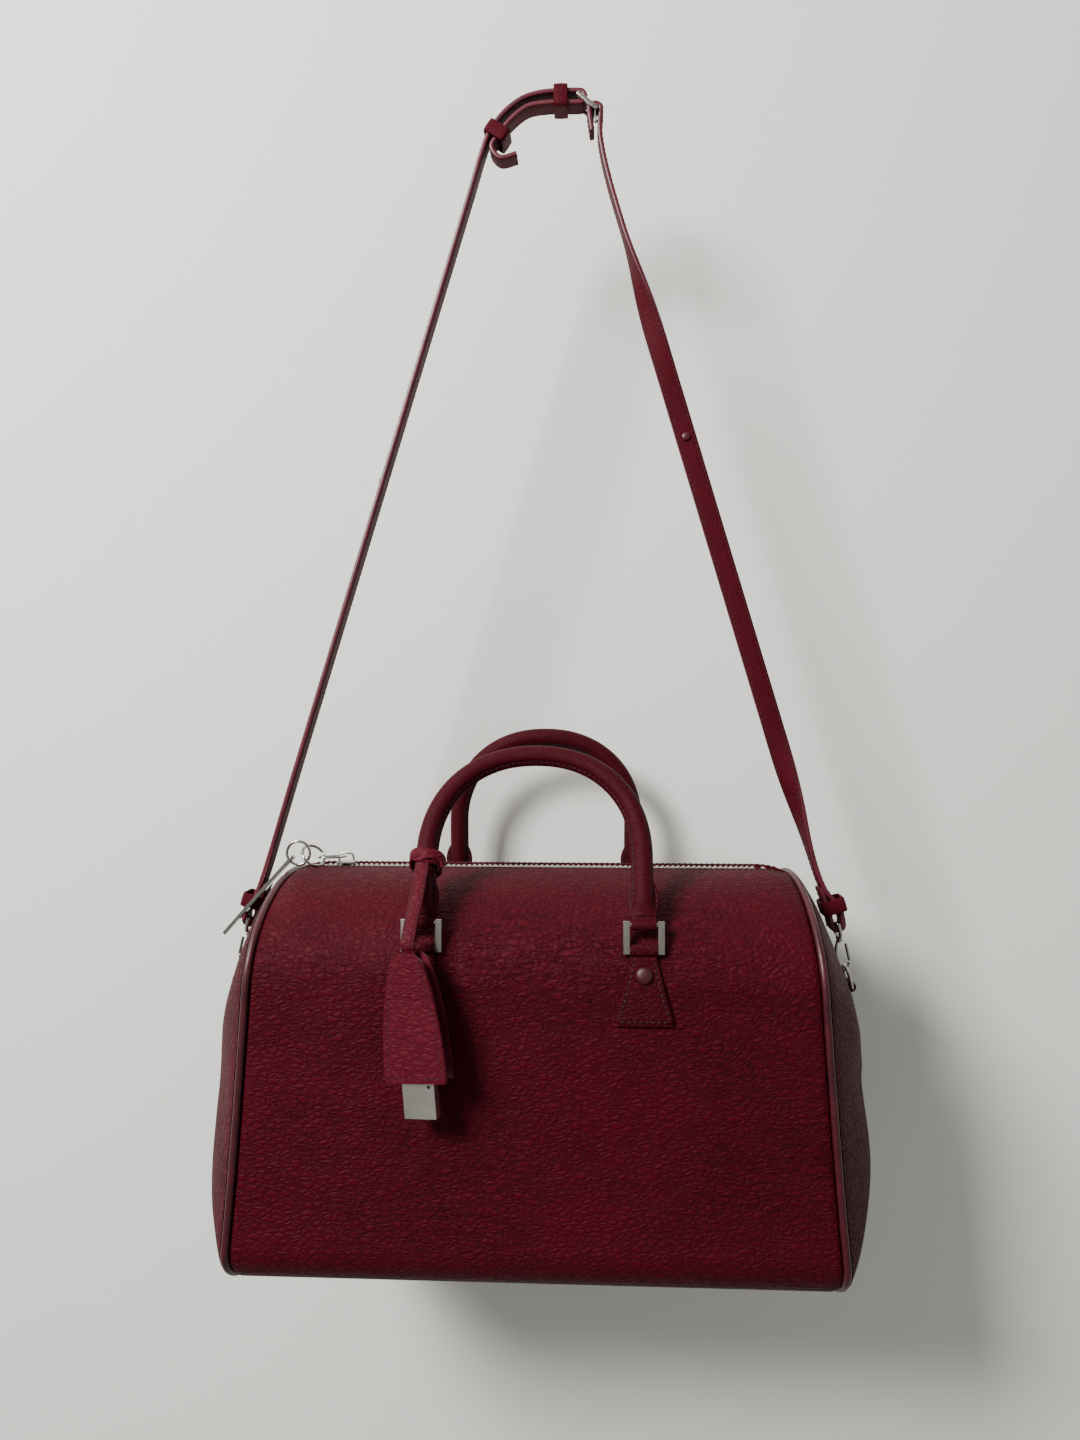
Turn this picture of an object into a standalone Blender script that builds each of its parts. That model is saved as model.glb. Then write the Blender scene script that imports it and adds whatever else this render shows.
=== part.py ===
"""A small grained-leather Boston bag that hangs by its shoulder strap.

Metres, +Z up, the front of the bag faces -Y. The origin is the hanging point: the inner face of
the strap at its apex. The bag, its two handles, the zip and the strap lie symmetrically about
the plane y = 0, which the strap hangs in.
"""
import math

import bmesh
import bpy
from mathutils import Matrix, Vector

# ---------------------------------------------------------------- driving dimensions
GAP = 0.0003                # clearance between touching pieces

BODY_HEIGHT = 0.206         # flat underside to ridge
RIDGE_Z = -0.4325           # height of the zip ridge below the hanging point
BASE_Z = RIDGE_Z - BODY_HEIGHT
BASE_FLAT = 0.060           # half depth of the flat underside
BASE_CORNER = 0.022         # radius between underside and side
SIDE_DEPTH = 0.082          # half depth just above the bottom corner
WAIST_DEPTH = 0.080         # half depth where the shoulder starts
SHOULDER_H = 0.150          # height where the shoulder starts
SHOULDER_POWER = 2.2        # superellipse power of the shoulder
TOP_WIDTH = 0.142           # half width at the ridge, on the piping's line
BOTTOM_WIDTH = 0.158        # half width above the bottom corner
UNDER_WIDTH = 0.151         # half width across the underside
END_DROP = 0.004            # how far the ridge rounds off at the gussets
END_START = 0.124           # where that rounding starts
GUSSET_BULGE = 0.030        # how far a gusset domes out
GUSSET_CENTRE_H = 0.085
GUSSET_CENTRE_X = 0.150

SKIN = 0.0022               # leather thickness of the body
PIPING_R = 0.0020
SEAM = PIPING_R + 0.0005    # panel edge to the piping's centre line
BASE_SEAM = 0.057           # half width of the separate base panel
LINING_GAP = 0.0012
LINING_SKIN = 0.0008
LINING_SLOT = 0.019         # half width of the lining's open top

ZIP_EDGE = 0.008            # panel edge beside the zip
ZIP_END = 0.128             # half length of the chain of teeth
TEETH_IN = 0.0005
TEETH_OUT = 0.0030
TEETH_LOW = 0.2020
TEETH_HIGH = 0.2060
TAPE_OUT = 0.0160
TAPE_LOW = 0.2007
TAPE_HIGH = 0.2014

SLIDER_X = -0.112
BAR_SLOPE = 48.0            # degrees the pull bar slopes down, over the left shoulder
HANDLE_X = 0.0560           # half spread of a pair of rings
RING_H = 0.1740             # height of a ring's lower bar, at the tab
RING_W = 0.0208             # outside width of a ring
RING_TALL = 0.0125          # lower bar to upper bar, centre to centre
RING_BAR = 0.0011           # half thickness of the round bars
HANDLE_R = 0.0054           # half thickness of a rolled handle
STRAP_W = 0.0120
STRAP_T = 0.0028

HOOK_X = 0.1672             # half distance between the two bars that the strap folds round
HOOK_Z = -0.4640

# ---------------------------------------------------------------- materials
MATERIALS = {
    "grained_leather": ((0.045, 0.004, 0.010), 0.45, 0.0),
    "smooth_leather": ((0.060, 0.005, 0.012), 0.40, 0.0),
    "lining_cloth": ((0.120, 0.085, 0.075), 0.90, 0.0),
    "board": ((0.060, 0.050, 0.045), 0.85, 0.0),
    "zip_tape": ((0.030, 0.004, 0.008), 0.85, 0.0),
    "nickel": ((0.48, 0.46, 0.44), 0.30, 1.0),
}


def material(name):
    """Return the named Principled material, making it the first time."""
    if name in bpy.data.materials:
        return bpy.data.materials[name]
    colour, roughness, metallic = MATERIALS[name]
    made = bpy.data.materials.new(name)
    made.use_nodes = True
    shader = made.node_tree.nodes["Principled BSDF"]
    shader.inputs["Base Color"].default_value = (*colour, 1.0)
    shader.inputs["Roughness"].default_value = roughness
    shader.inputs["Metallic"].default_value = metallic
    return made


# ---------------------------------------------------------------- building blocks
def clear_scene():
    for old in list(bpy.data.objects):
        bpy.data.objects.remove(old, do_unlink=True)


def new_object(name, slot, mesh):
    """Put a mesh into the scene under its node name, with one own material."""
    thing = bpy.data.objects.new(name, mesh)
    thing.data.materials.append(material(slot))
    bpy.context.scene.collection.objects.link(thing)
    return thing


def from_bmesh(name, slot, build):
    """Finish a closed bmesh: faces outward, smooth shading, sharp edges kept."""
    bmesh.ops.recalc_face_normals(build, faces=build.faces)
    mesh = bpy.data.meshes.new(name)
    build.to_mesh(mesh)
    build.free()
    mesh.shade_smooth()
    mesh.set_sharp_from_angle(angle=math.radians(35))
    return new_object(name, slot, mesh)


def loft(name, slot, rings, closed=False):
    """Skin a list of point rings; an open loft gets a face over each end."""
    build = bmesh.new()
    loops = [[build.verts.new(point) for point in ring] for ring in rings]
    count = len(loops[0])
    pairs = list(zip(loops, loops[1:]))
    if closed:
        pairs.append((loops[-1], loops[0]))
    for lower, upper in pairs:
        for i in range(count):
            j = (i + 1) % count
            build.faces.new((lower[i], lower[j], upper[j], upper[i]))
    if not closed:
        build.faces.new(list(reversed(loops[0])))
        build.faces.new(loops[-1])
    return from_bmesh(name, slot, build)


def frames_along(points, side, closed=False):
    """Tangent, side and normal at each point of a path, with the side kept near the given one."""
    count = len(points)
    result = []
    for i, point in enumerate(points):
        before = points[i - 1] if i > 0 or closed else point
        after = points[(i + 1) % count] if i < count - 1 or closed else point
        tangent = (after - before).normalized()
        level = side - tangent * side.dot(tangent)
        level.normalize()
        result.append((tangent, level, tangent.cross(level)))
    return result


def sweep(name, slot, points, section, side, closed=False, twist=None, scale=None):
    """Sweep a section, points of (side, normal), along a path. twist and scale vary along it."""
    rings = []
    for i, (tangent, level, normal) in enumerate(frames_along(points, side, closed)):
        angle = twist(i) if twist else 0.0
        wide, thick = scale(i) if scale else (1.0, 1.0)
        across = level * math.cos(angle) + normal * math.sin(angle)
        through = tangent.cross(across)
        rings.append([points[i] + across * a * wide + through * b * thick for a, b in section])
    return loft(name, slot, rings, closed)


def round_section(radius, sides):
    return [(radius * math.cos(math.tau * k / sides), radius * math.sin(math.tau * k / sides))
            for k in range(sides)]


def flat_section(width, thickness, edge):
    """A flat strap's section, its two edges coming to a blunt ridge."""
    half_w, half_t = width / 2, thickness / 2
    return [(half_w, 0.0), (half_w - edge, half_t), (-half_w + edge, half_t), (-half_w, 0.0),
            (-half_w + edge, -half_t), (half_w - edge, -half_t)]


def smooth_path(knots, steps):
    """A Catmull-Rom curve through the knots, steps points to each stretch."""
    ends = [knots[0] * 2 - knots[1]] + list(knots) + [knots[-1] * 2 - knots[-2]]
    path = []
    for a, b, c, d in zip(ends, ends[1:], ends[2:], ends[3:]):
        for k in range(steps):
            t = k / steps
            path.append(0.5 * ((b * 2) + (c - a) * t + (a * 2 - b * 5 + c * 4 - d) * t * t
                               + (b * 3 - a - c * 3 + d) * t * t * t))
    path.append(knots[-1].copy())
    return path


def smoothstep(low, high, value):
    t = min(1.0, max(0.0, (value - low) / (high - low)))
    return t * t * (3 - 2 * t)


def block(name, slot, centre, size, bevel=0.0, turn=None):
    """A box with bevelled edges, about its own centre."""
    build = bmesh.new()
    bmesh.ops.create_cube(build, size=1.0)
    bmesh.ops.scale(build, vec=size, verts=build.verts)
    if bevel > 0:
        bmesh.ops.bevel(build, geom=list(build.edges), offset=bevel, segments=1, affect="EDGES")
    place = Matrix.Translation(centre) @ (turn or Matrix.Identity(4))
    bmesh.ops.transform(build, matrix=place, verts=build.verts)
    return from_bmesh(name, slot, build)


def rod_cutter(centre, axis, radius, length, sides=12):
    """A hidden round cutter along an axis."""
    build = bmesh.new()
    bmesh.ops.create_cone(build, cap_ends=True, segments=sides, radius1=radius, radius2=radius,
                          depth=length)
    turn = Vector((0, 0, 1)).rotation_difference(Vector(axis)).to_matrix().to_4x4()
    bmesh.ops.transform(build, matrix=Matrix.Translation(centre) @ turn, verts=build.verts)
    return hide_cutter(from_bmesh("cutter", "board", build))


def hide_cutter(cutter):
    cutter.hide_render = True
    cutter.display_type = "WIRE"
    return cutter


def combine(thing, other, operation):
    """Cut or join with an exact Boolean modifier."""
    change = thing.modifiers.new(operation.lower(), "BOOLEAN")
    change.operation = operation
    change.solver = "EXACT"
    change.object = hide_cutter(other)
    return thing


# ---------------------------------------------------------------- the bag's form
def half_width(height):
    """Half width of the bag on the piping's line, at a height above the underside."""
    upper = BOTTOM_WIDTH + (TOP_WIDTH - BOTTOM_WIDTH) * (height / BODY_HEIGHT) ** 0.75
    corner = math.sqrt(max(0.0, 1 - (1 - min(height / BASE_CORNER, 1.0)) ** 2))
    return UNDER_WIDTH + (upper - UNDER_WIDTH) * corner


def profile(t):
    """Half depth and height on the section, t from 0 mid-underside to 1 at the ridge."""
    if t < 0.22:
        return BASE_FLAT * t / 0.22, 0.0
    if t < 0.34:
        turn = (t - 0.22) / 0.12 * math.pi / 2
        return (BASE_FLAT + BASE_CORNER * math.sin(turn), BASE_CORNER * (1 - math.cos(turn)))
    if t < 0.66:
        part = (t - 0.34) / 0.32
        return (SIDE_DEPTH + (WAIST_DEPTH - SIDE_DEPTH) * part,
                BASE_CORNER + (SHOULDER_H - BASE_CORNER) * part)
    turn = (t - 0.66) / 0.34 * math.pi / 2
    power = 2 / SHOULDER_POWER
    return (WAIST_DEPTH * max(0.0, math.cos(turn)) ** power,
            SHOULDER_H + (BODY_HEIGHT - SHOULDER_H) * math.sin(turn) ** power)


def profile_at_depth(depth):
    """The t above the shoulder where the section has this half depth."""
    low, high = 0.66, 1.0
    for _ in range(40):
        middle = (low + high) / 2
        if profile(middle)[0] > depth:
            low = middle
        else:
            high = middle
    return low


def ridge_drop(x, height):
    """How far the top rounds down near the gussets."""
    near_top = smoothstep(SHOULDER_H, BODY_HEIGHT, height)
    return END_DROP * near_top * max(0.0, (abs(x) - END_START) / (TOP_WIDTH - END_START)) ** 2


def skin_point(x, side, depth, height, inset=0.0, normal=(0.0, 0.0)):
    """A point of the section in world coordinates, moved inwards by inset."""
    return Vector((x, side * (depth - inset * normal[0]),
                   BASE_Z + height - inset * normal[1] - ridge_drop(x, height)))


def profile_normal(t):
    before = profile(max(0.0, t - 0.004))
    after = profile(min(1.0, t + 0.004))
    along = Vector((after[0] - before[0], after[1] - before[1])).normalized()
    return along.y, -along.x


PROFILE_STEPS = [0.24, 0.26, 0.28, 0.30, 0.32, 0.34, 0.45, 0.56, 0.66, 0.70, 0.74, 0.78,
                 0.82, 0.86, 0.90]


def panel_steps():
    """Section stations of a front or back panel, from the base seam to the zip."""
    first = 0.22 * BASE_SEAM / BASE_FLAT + 0.002
    return [first, 0.22] + PROFILE_STEPS + [profile_at_depth(ZIP_EDGE)]


def across_steps(limit):
    """Stations across the bag, closer together where the ridge rounds off."""
    inner = END_START / TOP_WIDTH
    middle = (1 + inner) / 2
    return [limit * k for k in (-1, -middle, -inner, -0.45, 0, 0.45, inner, middle, 1)]


def body_panel(name, side):
    """One big panel, front or back, from the base seam over the shoulder to the zip."""
    rings = []
    for t in panel_steps():
        depth, height = profile(t)
        normal = profile_normal(t)
        row = across_steps(half_width(height) - SEAM)
        outer = [skin_point(x, side, depth, height) for x in row]
        inner = [skin_point(x, side, depth, height, SKIN, normal) for x in reversed(row)]
        rings.append(outer + inner)
    return loft(name, "grained_leather", rings)


def base_panel():
    """The flat leather base between the front and back panels."""
    size = (2 * (UNDER_WIDTH - SEAM), 2 * (BASE_SEAM - 0.0003), SKIN)
    block("base_panel", "grained_leather", Vector((0, 0, BASE_Z + SKIN / 2)), size, 0.0004)


def base_board():
    """The loose stiffening board inside the lining."""
    size = (0.272, 0.104, 0.0020)
    height = SKIN + LINING_GAP + LINING_SKIN + 0.0004 + size[2] / 2
    block("base_board", "board", Vector((0, 0, BASE_Z + height)), size, 0.0005)


def boundary_steps():
    """Section stations of the whole seam loop, front half from the underside up to the ridge."""
    return [0.0, 0.11, 0.22, 0.26, 0.30, 0.34, 0.42, 0.50, 0.58, 0.66, 0.72, 0.78, 0.84, 0.90,
            0.95, 1.0]


def seam_loop():
    """(side, t) round the whole section once."""
    steps = boundary_steps()
    front = [(-1, t) for t in steps]
    back = [(1, t) for t in reversed(steps[1:-1])]
    return front + back


def gusset_x(width, reach):
    """Outward position of the dome: width on the seam, reach 0 on the seam to 1 at its centre."""
    base = width + (GUSSET_CENTRE_X - width) * reach
    return base + GUSSET_BULGE * (1 - (1 - reach) ** 2) ** 0.95


def gusset_point(end, side, t, reach, inset):
    depth, height = profile(t)
    width = half_width(height) + SEAM
    normal = profile_normal(t)
    lift = 0.0016 * (1 - smoothstep(0, 0.03, height))
    depth = depth - inset * normal[0] * (1 - reach)
    height = height - inset * normal[1] * (1 - reach) + lift
    y = side * depth * (1 - reach)
    h = GUSSET_CENTRE_H + (height - GUSSET_CENTRE_H) * (1 - reach)
    x = gusset_x(width, reach) - inset * min(1.0, reach * 3)
    drop = ridge_drop(TOP_WIDTH, height) * (1 - reach)
    return Vector((end * x, y, BASE_Z + h - drop))


def gusset(name, end):
    """A domed leather end, outer skin out to the centre and back along the inner skin."""
    build = bmesh.new()
    reaches = [0.0, 0.03, 0.09, 0.2, 0.38, 0.62]
    loop = seam_loop()
    count = len(loop)
    sheets = []
    for inset in (0.0, SKIN):
        rows = [[build.verts.new(gusset_point(end, side, t, reach, inset)) for side, t in loop]
                for reach in reaches]
        tip = build.verts.new(gusset_point(end, 1, 0.5, 1.0, inset))
        sheets.append((rows, tip))
        for lower, upper in zip(rows, rows[1:]):
            for i in range(count):
                j = (i + 1) % count
                build.faces.new((lower[i], lower[j], upper[j], upper[i]))
        for i in range(count):
            build.faces.new((rows[-1][i], rows[-1][(i + 1) % count], tip))
    outer, inner = sheets[0][0][0], sheets[1][0][0]
    for i in range(count):
        j = (i + 1) % count
        build.faces.new((outer[i], outer[j], inner[j], inner[i]))
    return from_bmesh(name, "grained_leather", build)


def piping(name, end):
    """The welt cord that runs all round a gusset's seam."""
    points = []
    for side, t in seam_loop():
        depth, height = profile(t)
        lift = PIPING_R * (1 - smoothstep(0, 0.03, height))
        points.append(skin_point(end * half_width(height), side, depth, height + lift))
    sweep(name, "smooth_leather", points, round_section(PIPING_R, 6), Vector((1, 0, 0)), True)


def lining():
    """The sewn sack inside, open along the zip, its thickness added inwards."""
    build = bmesh.new()
    slot_t = profile_at_depth(LINING_SLOT)
    steps = [0.0, 0.12, 0.22, 0.28, 0.34, 0.45, 0.56, 0.66, 0.74, 0.82, 0.90, slot_t]
    loop = [(-1, t) for t in reversed(steps)] + [(1, t) for t in steps[1:]]
    inset = SKIN + LINING_GAP
    rows = []
    for part in (-1, -0.97, -0.5, 0, 0.5, 0.97, 1):
        row = []
        for side, t in loop:
            depth, height = profile(t)
            limit = half_width(height) - SEAM - inset
            point = skin_point(part * limit, side, depth, height, inset, profile_normal(t))
            row.append(build.verts.new(point - Vector((0, 0, 0.001 if abs(part) == 1 else 0))))
        rows.append(row)
    for lower, upper in zip(rows, rows[1:]):
        for i in range(len(loop) - 1):
            build.faces.new((lower[i], lower[i + 1], upper[i + 1], upper[i]))
    build.faces.new(rows[0])
    build.faces.new(rows[-1])
    bmesh.ops.recalc_face_normals(build, faces=build.faces)
    mesh = bpy.data.meshes.new("lining")
    build.to_mesh(mesh)
    build.free()
    sack = new_object("lining", "lining_cloth", mesh)
    shell = sack.modifiers.new("thickness", "SOLIDIFY")
    shell.thickness = LINING_SKIN
    shell.offset = -1


# ---------------------------------------------------------------- zip
def at(x, y, height):
    """A point from its place in the bag: height above the underside."""
    return Vector((x, y, BASE_Z + height))


def zip_rows():
    """Two tapes, two rows of teeth and the metal stops at both ends."""
    for name, side in (("front", -1), ("back", 1)):
        tape_y = side * (TEETH_OUT + GAP + TAPE_OUT) / 2
        tape = (2 * ZIP_END + 0.008, TAPE_OUT - TEETH_OUT - GAP, TAPE_HIGH - TAPE_LOW)
        block(f"zip_tape_{name}", "zip_tape", at(0, tape_y, (TAPE_LOW + TAPE_HIGH) / 2), tape)
        teeth_y = side * (TEETH_IN + TEETH_OUT) / 2
        teeth = (2 * ZIP_END - 0.006, TEETH_OUT - TEETH_IN, TEETH_HIGH - TEETH_LOW)
        block(f"zip_teeth_{name}", "nickel", at(0, teeth_y, (TEETH_LOW + TEETH_HIGH) / 2), teeth,
              0.0003)
    for name, end in (("left", -1), ("right", 1)):
        centre = at(end * (ZIP_END - 0.0015), 0, (TEETH_LOW + TEETH_HIGH) / 2)
        block(f"zip_stop_{name}", "nickel", centre, (0.0022, 0.0058, 0.0030), 0.0004)


def zip_slider():
    """Slider with a plate over and under the teeth, a post between them and a bridge on top."""
    length, width = 0.0105, 0.0092
    top_low = TEETH_HIGH + GAP
    top_high = top_low + 0.0014
    bottom_high = TAPE_LOW - GAP
    slider = block("zip_slider", "nickel", at(SLIDER_X, 0, (top_low + top_high) / 2),
                   (length, width, top_high - top_low), 0.0004)
    under = block("slider_under", "nickel", at(SLIDER_X, 0, bottom_high - 0.0006),
                  (length * 0.9, width * 0.8, 0.0012), 0.0003)
    post_tall = top_high - bottom_high
    post = block("slider_post", "nickel", at(SLIDER_X, 0, bottom_high + post_tall / 2 - 0.0004),
                 (0.0040, 2 * (TEETH_IN - GAP), post_tall))
    bridge = block("slider_bridge", "nickel", at(SLIDER_X, 0, top_high + 0.0021),
                   (0.0096, 0.0010, 0.0056), 0.0003)
    eye = block("slider_eye", "nickel", at(SLIDER_X, 0, top_high + 0.0019),
                (0.0062, 0.0060, 0.0034))
    combine(slider, under, "UNION")
    combine(slider, post, "UNION")
    combine(bridge, eye, "DIFFERENCE")
    combine(slider, bridge, "UNION")


def oval_ring(name, slot, centre, turn, half_long, half_wide, wire, steps=18, sides=6):
    """A closed wire ring: an oval in its own XY plane, turned and placed."""
    points = []
    for k in range(steps):
        angle = math.tau * k / steps
        flat = Vector((half_long * math.cos(angle), half_wide * math.sin(angle), 0))
        points.append(centre + turn @ flat)
    side = turn @ Vector((0, 0, 1))
    sweep(name, slot, points, round_section(wire, sides), side, True)


LARGE_RING = Vector((SLIDER_X - 0.0250, -0.0116, BASE_Z + 0.2134))
LARGE_RING_R = 0.0066
BAR_HELD = 220.0            # where on the large ring the bar hangs, in degrees from +X


def turned(yaw, lean):
    """Lean about X, then yaw about Z, in degrees."""
    return Matrix.Rotation(math.radians(yaw), 3, "Z") @ Matrix.Rotation(math.radians(lean), 3, "X")


def pull_chain():
    """Three links from the slider's bridge to the long flat bar that lies over the shoulder."""
    link = at(SLIDER_X - 0.0077, -0.0021, 0.2101)
    oval_ring("pull_link", "nickel", link, turned(20, 0), 0.0078, 0.0038, 0.00055)
    small = at(SLIDER_X - 0.0172, -0.0080, 0.2115)
    oval_ring("pull_ring_small", "nickel", small, turned(48, 52), 0.0068, 0.0068, 0.0008)
    oval_ring("pull_ring_large", "nickel", LARGE_RING, turned(0, 90), LARGE_RING_R, LARGE_RING_R,
              0.0008)
    slope = math.radians(BAR_SLOPE)
    along = Vector((-math.cos(slope), 0, -math.sin(slope)))
    length, width, thick = 0.0600, 0.0056, 0.0020
    held = math.radians(BAR_HELD)
    hole = LARGE_RING + Vector((math.cos(held), 0, math.sin(held))) * LARGE_RING_R
    centre = hole + along * (length / 2 - 0.0035)
    turn = Matrix.Rotation(-slope, 4, "Y")
    bar = block("pull_bar", "nickel", centre, (length, width, thick), 0.0005, turn)
    through = Vector((-math.sin(slope), 0, math.cos(slope)))
    combine(bar, rod_cutter(hole, through, 0.0016, 0.02), "DIFFERENCE")


# ---------------------------------------------------------------- handles
def front_surface(height):
    """Half depth of the body at a height above the shoulder's start."""
    low, high = 0.34, 1.0
    for _ in range(40):
        middle = (low + high) / 2
        if profile(middle)[1] < height:
            low = middle
        else:
            high = middle
    return profile(low)[0], profile_normal(low), low


def handle_name(side, end):
    return f"{'front' if side < 0 else 'back'}_{'left' if end < 0 else 'right'}"


RING_OUT = 0.0036           # a ring's lower bar stands this far off the body
RING_LEAN = 0.10            # slope of a ring against the upright, towards the middle
TAB_TOP_H = 0.1688
TAB_FOOT_H = 0.1372
TAB_TOP_HALF = 0.0068
TAB_FOOT_HALF = 0.0155
TAB_THICK = 0.0020
NECK_H = 0.1697             # height of the tab's neck below the ring's bar
STUD_H = 0.1618
WING = ((0.0010, 0.0063), (0.0060, 0.0070), (0.0110, 0.0083), (0.0165, 0.0080), (0.0215, 0.0060),
        (0.0240, 0.0040))   # rise and half width of the flat leaf at a handle's end
WING_THICK = 0.0024
HANDLE_STRAIGHT = 0.036     # straight part of a handle's leg
ARCH_POWER = 0.92           # how full the handle's arch is: 1 is an ellipse


def lower_bar(side, end):
    depth = front_surface(RING_H)[0]
    return at(end * HANDLE_X, side * (depth + RING_OUT), RING_H)


def upper_bar(side, end):
    return lower_bar(side, end) + Vector((0, -side * RING_TALL * RING_LEAN, RING_TALL))


def handle_ring(side, end):
    """A flat rectangular ring: two round bars joined by flat sides."""
    name = f"handle_ring_{handle_name(side, end)}"
    low = lower_bar(side, end)
    high = upper_bar(side, end)
    rise = (high - low).normalized()
    middle = (low + high) / 2
    half = RING_W / 2 - 0.0017
    turn = Matrix.Rotation(math.atan2(side * rise.y, rise.z) * -side, 4, "X")
    ring = block(name, "nickel", middle + Vector((half, 0, 0)), (0.0034, 0.0026, RING_TALL + 0.0040),
                 0.0005, turn)
    other = block(name + "_side", "nickel", middle - Vector((half, 0, 0)),
                  (0.0034, 0.0026, RING_TALL + 0.0040), 0.0005, turn)
    combine(ring, other, "UNION")
    for bar in (low, high):
        build = rod_cutter(bar, (1, 0, 0), RING_BAR, 2 * half + 0.001, 8)
        combine(ring, build, "UNION")


def handle_tab(side, end):
    """A leather tab sewn to the body, wider at the foot, with a loop round the ring's bar."""
    name = f"handle_tab_{handle_name(side, end)}"
    rings = []
    for height in (TAB_TOP_H, 0.163, 0.156, 0.146, TAB_FOOT_H):
        depth, normal, _ = front_surface(height)
        share = (TAB_TOP_H - height) / (TAB_TOP_H - TAB_FOOT_H)
        half = TAB_TOP_HALF + (TAB_FOOT_HALF - TAB_TOP_HALF) * share
        base = at(end * HANDLE_X, side * (depth + GAP * normal[0]), height + GAP * normal[1])
        out = Vector((0, side * normal[0], normal[1])) * TAB_THICK
        rings.append([base + Vector((-half, 0, 0)), base + Vector((half, 0, 0)),
                      base + Vector((half, 0, 0)) + out, base + Vector((-half, 0, 0)) + out])
    tab = loft(name, "smooth_leather", rings)
    centre = lower_bar(side, end)
    loop = rod_cutter(centre, (1, 0, 0), RING_BAR + 0.0017, 2 * TAB_TOP_HALF, 12)
    hole = rod_cutter(centre, (1, 0, 0), RING_BAR + GAP, 0.03, 10)
    depth, normal, _ = front_surface(NECK_H)
    neck_at = at(end * HANDLE_X, side * (depth + 0.0021), NECK_H)
    neck = block(name + "_neck", "smooth_leather", neck_at, (2 * TAB_TOP_HALF, TAB_THICK, 0.0070), 0,
                 Matrix.Rotation(side * math.asin(normal[1]), 4, "X"))
    combine(tab, neck, "UNION")
    combine(tab, loop, "UNION")
    combine(tab, hole, "DIFFERENCE")


def domed_stud(name, base, out, rings, count):
    """A small domed rivet: rings of (radius, height) turned to face along out."""
    turn = Vector((0, 0, 1)).rotation_difference(out).to_matrix()
    loops = []
    for radius, height in rings:
        loop = []
        for k in range(count):
            angle = math.tau * k / count
            spot = Vector((radius * math.cos(angle), radius * math.sin(angle), height))
            loop.append(base + turn @ spot)
        loops.append(loop)
    loft(name, "smooth_leather", loops)


def handle_stud(side, end):
    """The domed leather-covered rivet on a tab."""
    depth, normal, _ = front_surface(STUD_H)
    out = Vector((0, side * normal[0], normal[1]))
    base = at(end * HANDLE_X, side * depth, STUD_H) + out * (TAB_THICK + 2 * GAP + 0.0002)
    rings = ((0.0042, 0.0), (0.0040, 0.0008), (0.0026, 0.0016))
    domed_stud(f"handle_stud_{handle_name(side, end)}", base, out, rings, 12)


def handle(side, lean, apex_rise):
    """A rolled handle: an arch in a leaning plane, with a flat loop round each upper bar."""
    name = f"handle_{'front' if side < 0 else 'back'}"
    foot = upper_bar(side, 1)
    up = Vector((0, -side * math.sin(lean), math.cos(lean)))
    arch = apex_rise - HANDLE_STRAIGHT
    rises = [0.0052, HANDLE_STRAIGHT * 0.45, HANDLE_STRAIGHT * 0.8]
    points = [foot + up * rise for rise in rises]
    for k in range(1, 16):
        angle = math.pi * k / 16
        x = HANDLE_X * math.copysign(abs(math.cos(angle)) ** ARCH_POWER, math.cos(angle))
        rise = HANDLE_STRAIGHT + arch * math.sin(angle) ** ARCH_POWER
        points.append(Vector((x, foot.y, foot.z)) + up * rise)
    points += [Vector((-foot.x, foot.y, foot.z)) + up * rise for rise in reversed(rises)]
    last = len(points) - 1
    across = Vector((0, up.z, -up.y))

    def flatten(i):
        near_end = min(i, last - i)
        return (0.42, 1.30) if near_end == 0 else (1.0, 1.0)

    rolled = sweep(name, "smooth_leather", points, round_section(HANDLE_R, 8), across, False,
                   None, flatten)
    for end in (-1, 1):
        centre = Vector((end * HANDLE_X, foot.y, foot.z))
        rings = []
        for rise, half in WING:
            row = centre + up * rise
            rings.append([row + Vector((half * a, 0, 0)) + across * b * WING_THICK / 2
                          for a, b in ((-1, -1), (1, -1), (1, 1), (-1, 1))])
        flat = loft(f"{name}_wing_{end}", "smooth_leather", rings)
        loop = rod_cutter(centre, (1, 0, 0), RING_BAR + 0.0016, 0.0128, 12)
        hole = rod_cutter(centre, (1, 0, 0), RING_BAR + GAP, 0.03, 10)
        combine(rolled, flat, "UNION")
        combine(rolled, loop, "UNION")
        combine(rolled, hole, "DIFFERENCE")


# ---------------------------------------------------------------- key bell and padlock
CLOCHETTE_X = -0.0590
CLOCHETTE_Y = -0.0952       # the bell hangs clear of the tab and its stud
KNOT_RISE = 0.0330          # the knot's height up the handle's leg
KNOT_OUT = HANDLE_R + 0.0062    # the hanging strap's top in front of the leg's middle
BELL_TOP_H = 0.1755
BELL_BOTTOM_H = 0.1130
BELL_HOLLOW = 0.0036        # half the room between the two halves
BELL_SKIN = 0.0018
BELL_TOP_HALF = 0.0062
STRAP_END = 0.0310          # how far the hanging strap reaches down into the bell
STRAP_HOLE = 0.0270
SHACKLE_H = 0.1414         # top of the shackle's straight legs
BELL_FLARE = 0.0102
BELL_YAW = -14.0            # degrees that the bell hangs turned towards its right
BELL_TILT = -4.8            # degrees that its foot swings to the right
PADLOCK_TOP_H = 0.1260
PADLOCK_BOTTOM_H = 0.0948


def knot_centre(lean):
    """Where the loop sits on the front handle's left leg."""
    return upper_bar(-1, -1) + Vector((0, math.sin(lean), math.cos(lean))) * KNOT_RISE


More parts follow.
